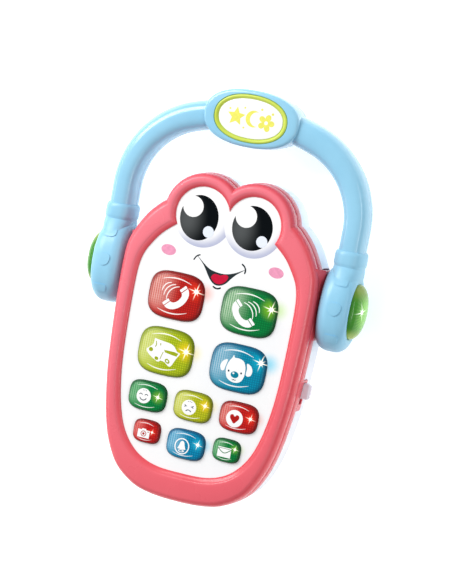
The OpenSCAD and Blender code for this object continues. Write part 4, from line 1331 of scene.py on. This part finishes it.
def make_ear_cover(side, material):
    """Disc with a rounded edge that closes the cup towards the phone, and the pivot shaft on it."""
    shaft_x = corners("ear_cover_right")[0].x
    middle = oval(COVER_X - 0.001, CUP_RY - CUP_EDGE_INSET - 2, CUP_RZ - CUP_EDGE_INSET - 2)
    cover = new_object("ear_cover_disc_" + side_name(side), loft([middle] + inner_edge(COVER_X, CUP_X)))
    start, end, bottom_r = CLIP_GROOVE
    groove = combined(new_object("groove", pivot_rod(start, end, SHAFT_R + 1)), "DIFFERENCE",
                      pivot_rod(start - 1, end + 1, bottom_r))
    combined(cover, "UNION", pivot_rod(shaft_x, COVER_X + 0.5, SHAFT_R))
    combined(cover, "DIFFERENCE", pivot_rod(shaft_x - 1, CUP_X + 1, WIRE_BORE_R, 24), taken(groove))
    finished(flipped(cover, side), "handle", material, ["ear_cover_" + side_name(side)])


def make_ear_cup(side, material):
    cup = new_object("ear_cup_shell_" + side_name(side), cup_body())
    collar = loft([[Vector((LEG_X + p.x, y, HINGE.z + p.y)) for p in superellipse(w, t, COLLAR_N, 80)]
                   for y, w, t in COLLAR_PROFILE])
    combined(cup, "UNION", collar)
    for points in PADS:
        loop = rounded_loop([(CUP_X + x, HINGE.y + y) for x, y in points], PAD_CORNER_R)
        pad = combined(new_object("pad", cup_body(PAD_RISE)), "INTERSECT",
                       prism(loop, HINGE.z + 2, HINGE.z + 20))
        combined(cup, "UNION", taken(pad))
    combined(cup, "DIFFERENCE", loft([oval(x, CUP_RY - 0.1, CUP_RZ + 0.1) for x in (40, CUP_X - 0.02)]))
    finished(flipped(cup, side), "handle", material, ["ear_cup_" + side_name(side)],
             sharp=30)


def make_ear_lens(side):
    rings = [oval(x, LENS_RY, LENS_RZ) for x in (CUP_FACE_X - 2.5, LENS_EDGE_X)]
    rise = (LENS_TIP_X - LENS_EDGE_X) / math.sin(math.radians(LENS_LAST_ANGLE))
    for k in range(1, 13):
        angle = math.radians(LENS_LAST_ANGLE * k / 12)
        share = math.cos(angle) ** 0.8
        rings.append(oval(LENS_EDGE_X + rise * math.sin(angle), LENS_RY * share, LENS_RZ * share))
    dome = flipped(new_object("ear_lens_dome_" + side_name(side), loft(rings)), side)
    finished(dome, "handle", lens_material(side), ["ear_lens_" + side_name(side)],
             sharp=40)


# ---------------------------------------------------------------- membrane, and CAD nodes that stay

SHEET = [(33, 13), (33, -58), (21.5, -79), (-21.5, -79), (-33, -58), (-33, 13)]
SHEET_T = 1
DOME_PROFILE = [(1.6, 1.2), (1.6, 1.9), (2.1, 1.9), (3.1, 0), (3.9, 0), (3.7, 0.8), (3.1, 2.4), (2.7, 2.9),
                (2.2, 3)]  # radius, height
DOME_HOLE_R = 3.95
LAMP_HOLE_R = 2.1
BOARD_SCREW_HOLE_R = 2.2
BOARD_SCREWS = [(0, 11), (31.5, -16.7), (-31.5, -16.7), (11.4, -61.6), (-11.4, -61.6)]


def make_membrane(material):
    """Silicone sheet on the board, with a hollow dome under each button."""
    z = corners("button_membrane")[0].z
    holes = [(x, y, BOARD_SCREW_HOLE_R) for x, y in BOARD_SCREWS]
    for name in BUTTON_LOOKS:
        _, (x, y), (w, _) = button_top(name)
        holes += [(x, y, DOME_HOLE_R), (x + max(0.32 * w, 5.8), y, LAMP_HOLE_R)]
        rings = [raised(circle(x, y, r, 48), z + h) for r, h in DOME_PROFILE]
        dome = new_object(name + "_dome", loft(rings))
        finished(dome, "root", material, sharp=40)
        x * MM
        y * MM
        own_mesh(dome)
    sheet = new_object("membrane_sheet", prism(SHEET, z, z + SHEET_T))
    combined(sheet, "DIFFERENCE", *(pin(x, y, z - 1, z + 2, radius) for x, y, radius in holes))
    finished(sheet, "root", material, ["button_membrane"])


METALS = {
    # colour, smoothest, roughest, CAD nodes
    "plated_steel": ((196, 198, 202), 0.2, 0.42, [
        "case_screws", "board_screws", "handle_screws", "battery_door_screw", "pivot_clip_left",
        "pivot_clip_right"]),
    "nickel": ((206, 204, 198), 0.16, 0.3, ["battery_springs", "battery_contacts"]),
    "tinned_switch": ((190, 192, 196), 0.2, 0.42, ["slide_switch"]),
}
PLASTICS = {
    # colour, second colour, smoothest, roughest, coat, CAD nodes
    "board_laminate": ((24, 104, 62), (18, 88, 52), 0.35, 0.5, 0.2, ["circuit_board"]),
    "chip_resin": ((24, 24, 26), (34, 34, 36), 0.5, 0.7, 0.0, ["sound_chip"]),
    "lamp_resin": ((244, 244, 232), (232, 232, 214), 0.12, 0.2, 0.8,
                   ["board_lamps", "ear_lamp_left", "ear_lamp_right"]),
    "speaker_cone": ((34, 34, 38), (46, 46, 50), 0.6, 0.8, 0.0, ["speaker"]),
    "wire_jacket": ((190, 30, 34), (172, 24, 28), 0.4, 0.55, 0.1,
                    ["speaker_leads", "battery_leads", "ear_lamp_lead_left", "ear_lamp_lead_right"]),
    "cell_sleeve": ((206, 168, 66), (190, 150, 52), 0.22, 0.32, 0.6, ["batteries"]),
    "switch_plastic": ((26, 26, 28), (36, 36, 38), 0.4, 0.55, 0.1, ["switch_lever"]),
}


def dress(material, *nodes):
    """Gives CAD nodes their material."""
    for node in nodes:
        slots = frame["nodes"][node].data.materials
        slots.clear()
        slots.append(material)


def soften(node, width):
    """Rounds the edges of a CAD node with a modifier."""
    step = frame["nodes"][node].modifiers.new("soft_edges", "BEVEL")
    step.width = width * MM
    step.segments = 2
    step.limit_method = "ANGLE"
    step.angle_limit = math.radians(40)


def make_inner_parts(white_casing):
    for name, (colour, low, high, nodes) in METALS.items():
        dress(metal(name, srgb(*colour), low, high), *nodes)
    for name, (colour, deep, low, high, coat, nodes) in PLASTICS.items():
        dress(moulded(name, srgb(*colour), srgb(*deep), low, high, coat).material, *nodes)
    dress(white_casing, "battery_door")
    soften("battery_door", 0.35)
    make_membrane(moulded("silicone", srgb(206, 208, 210), srgb(196, 198, 201), 0.55, 0.7, 0.0).material)


# ---------------------------------------------------------------- camera, floor and light

def make_camera():
    """Camera over the face, a little to the right, turned so that the phone leans to the left."""
    azimuth, elevation, roll = (math.radians(angle) for angle in (17, 5.7, 10.7))
    back = Vector((math.sin(azimuth) * math.cos(elevation), math.sin(elevation),
                   math.cos(azimuth) * math.cos(elevation)))
    right = Vector((math.cos(azimuth), 0, -math.sin(azimuth)))
    up = back.cross(right)
    right, up = (right * math.cos(roll) + up * math.sin(roll), up * math.cos(roll) - right * math.sin(roll))
    data = bpy.data.cameras.new("camera")
    data.lens = 131.3
    camera = bpy.data.objects.new("camera", data)
    bpy.context.scene.collection.objects.link(camera)
    target = Vector((0, -23, 30))
    place = target + 1000 * back + 10 * right + 25 * up
    camera.matrix_world = Matrix.Translation(place * MM) @ Matrix((right, up, back)).transposed().to_4x4()
    bpy.context.scene.camera = camera


def area_light(name, place, aim, size, power):
    """White rectangular light. Its place and size are in metres."""
    data = bpy.data.lights.new(name, "AREA")
    data.shape = "RECTANGLE"
    data.size, data.size_y = size
    data.energy = power
    lamp = bpy.data.objects.new(name, data)
    bpy.context.scene.collection.objects.link(lamp)
    lamp.location = Vector(place)
    lamp.rotation_mode = "QUATERNION"
    lamp.rotation_quaternion = (Vector(aim) - Vector(place)).to_track_quat("-Z", "Y")


def make_floor():
    half = 3.0
    mesh = bpy.data.meshes.new("floor")
    mesh.from_pydata([(-half, -half, 0), (half, -half, 0), (half, half, 0), (-half, half, 0)], [],
                     [(0, 1, 2, 3)])
    floor = bpy.data.objects.new("floor", mesh)
    bpy.context.scene.collection.objects.link(floor)
    net = Net("floor_pale", Roughness=0.9, Emission_Color=(1, 1, 1, 1), Emission_Strength=0.5)
    net.paint(net.mix(net.span(net.noise(6, 2), 0.3, 0.7), srgb(252, 252, 252), srgb(249, 249, 250)))
    mesh.materials.append(net.material)
    floor.location.z = -0.0004


def make_studio():
    bpy.context.scene.view_settings.view_transform = "Standard"
    world = bpy.data.worlds.new("studio")
    world.use_nodes = True
    background = world.node_tree.nodes["Background"].inputs
    background["Color"].default_value = (1, 1, 1, 1)
    background["Strength"].default_value = 0.44
    bpy.context.scene.world = world
    area_light("key", (-0.65, 0.55, 0.75), (0, 0, 0), (0.7, 0.5), 10.4)
    area_light("fill", (0.7, -0.3, 0.8), (0, 0, 0), (0.6, 0.6), 0.8)
    area_light("strip_left", (-1.0, 0.1, 0.45), (0, 0, 0.02), (1.0, 0.08), 1.6)
    area_light("strip_right", (0.9, 0.1, 0.75), (0, 0, 0.02), (1.0, 0.06), 1.8)
    make_floor()


def main():
    make_camera()
    make_studio()
    sky = moulded("sky_plastic", SKY, SKY_DEEP).material
    tube = moulded("sky_tube", SKY, SKY_DEEP, low=0.18, high=0.26, coat=0.7).material
    white_casing = moulded("white_casing", srgb(246, 248, 253), srgb(240, 244, 252), wear=0.03).material
    lilac = moulded("lilac_plastic", srgb(252, 250, 255), srgb(246, 242, 253)).material
    white = ink_material("print_icon", WHITE, drift=0.98)
    ink = ink_material("print_icon_dark", srgb(50, 70, 80))
    dress(panel_material(), "face_panel")
    make_bezel(crown_material())
    make_rear_cover(white_casing)
    make_power_knob(lilac)
    make_face()
    for name in BUTTON_LOOKS:
        make_button(name)
        make_icon(name, white, ink)
    make_handle(tube)
    make_badge()
    for side in (-1, 1):
        make_ear_cup(side, sky)
        make_ear_cover(side, sky)
        make_ear_lens(side)
    make_inner_parts(white_casing)


main()
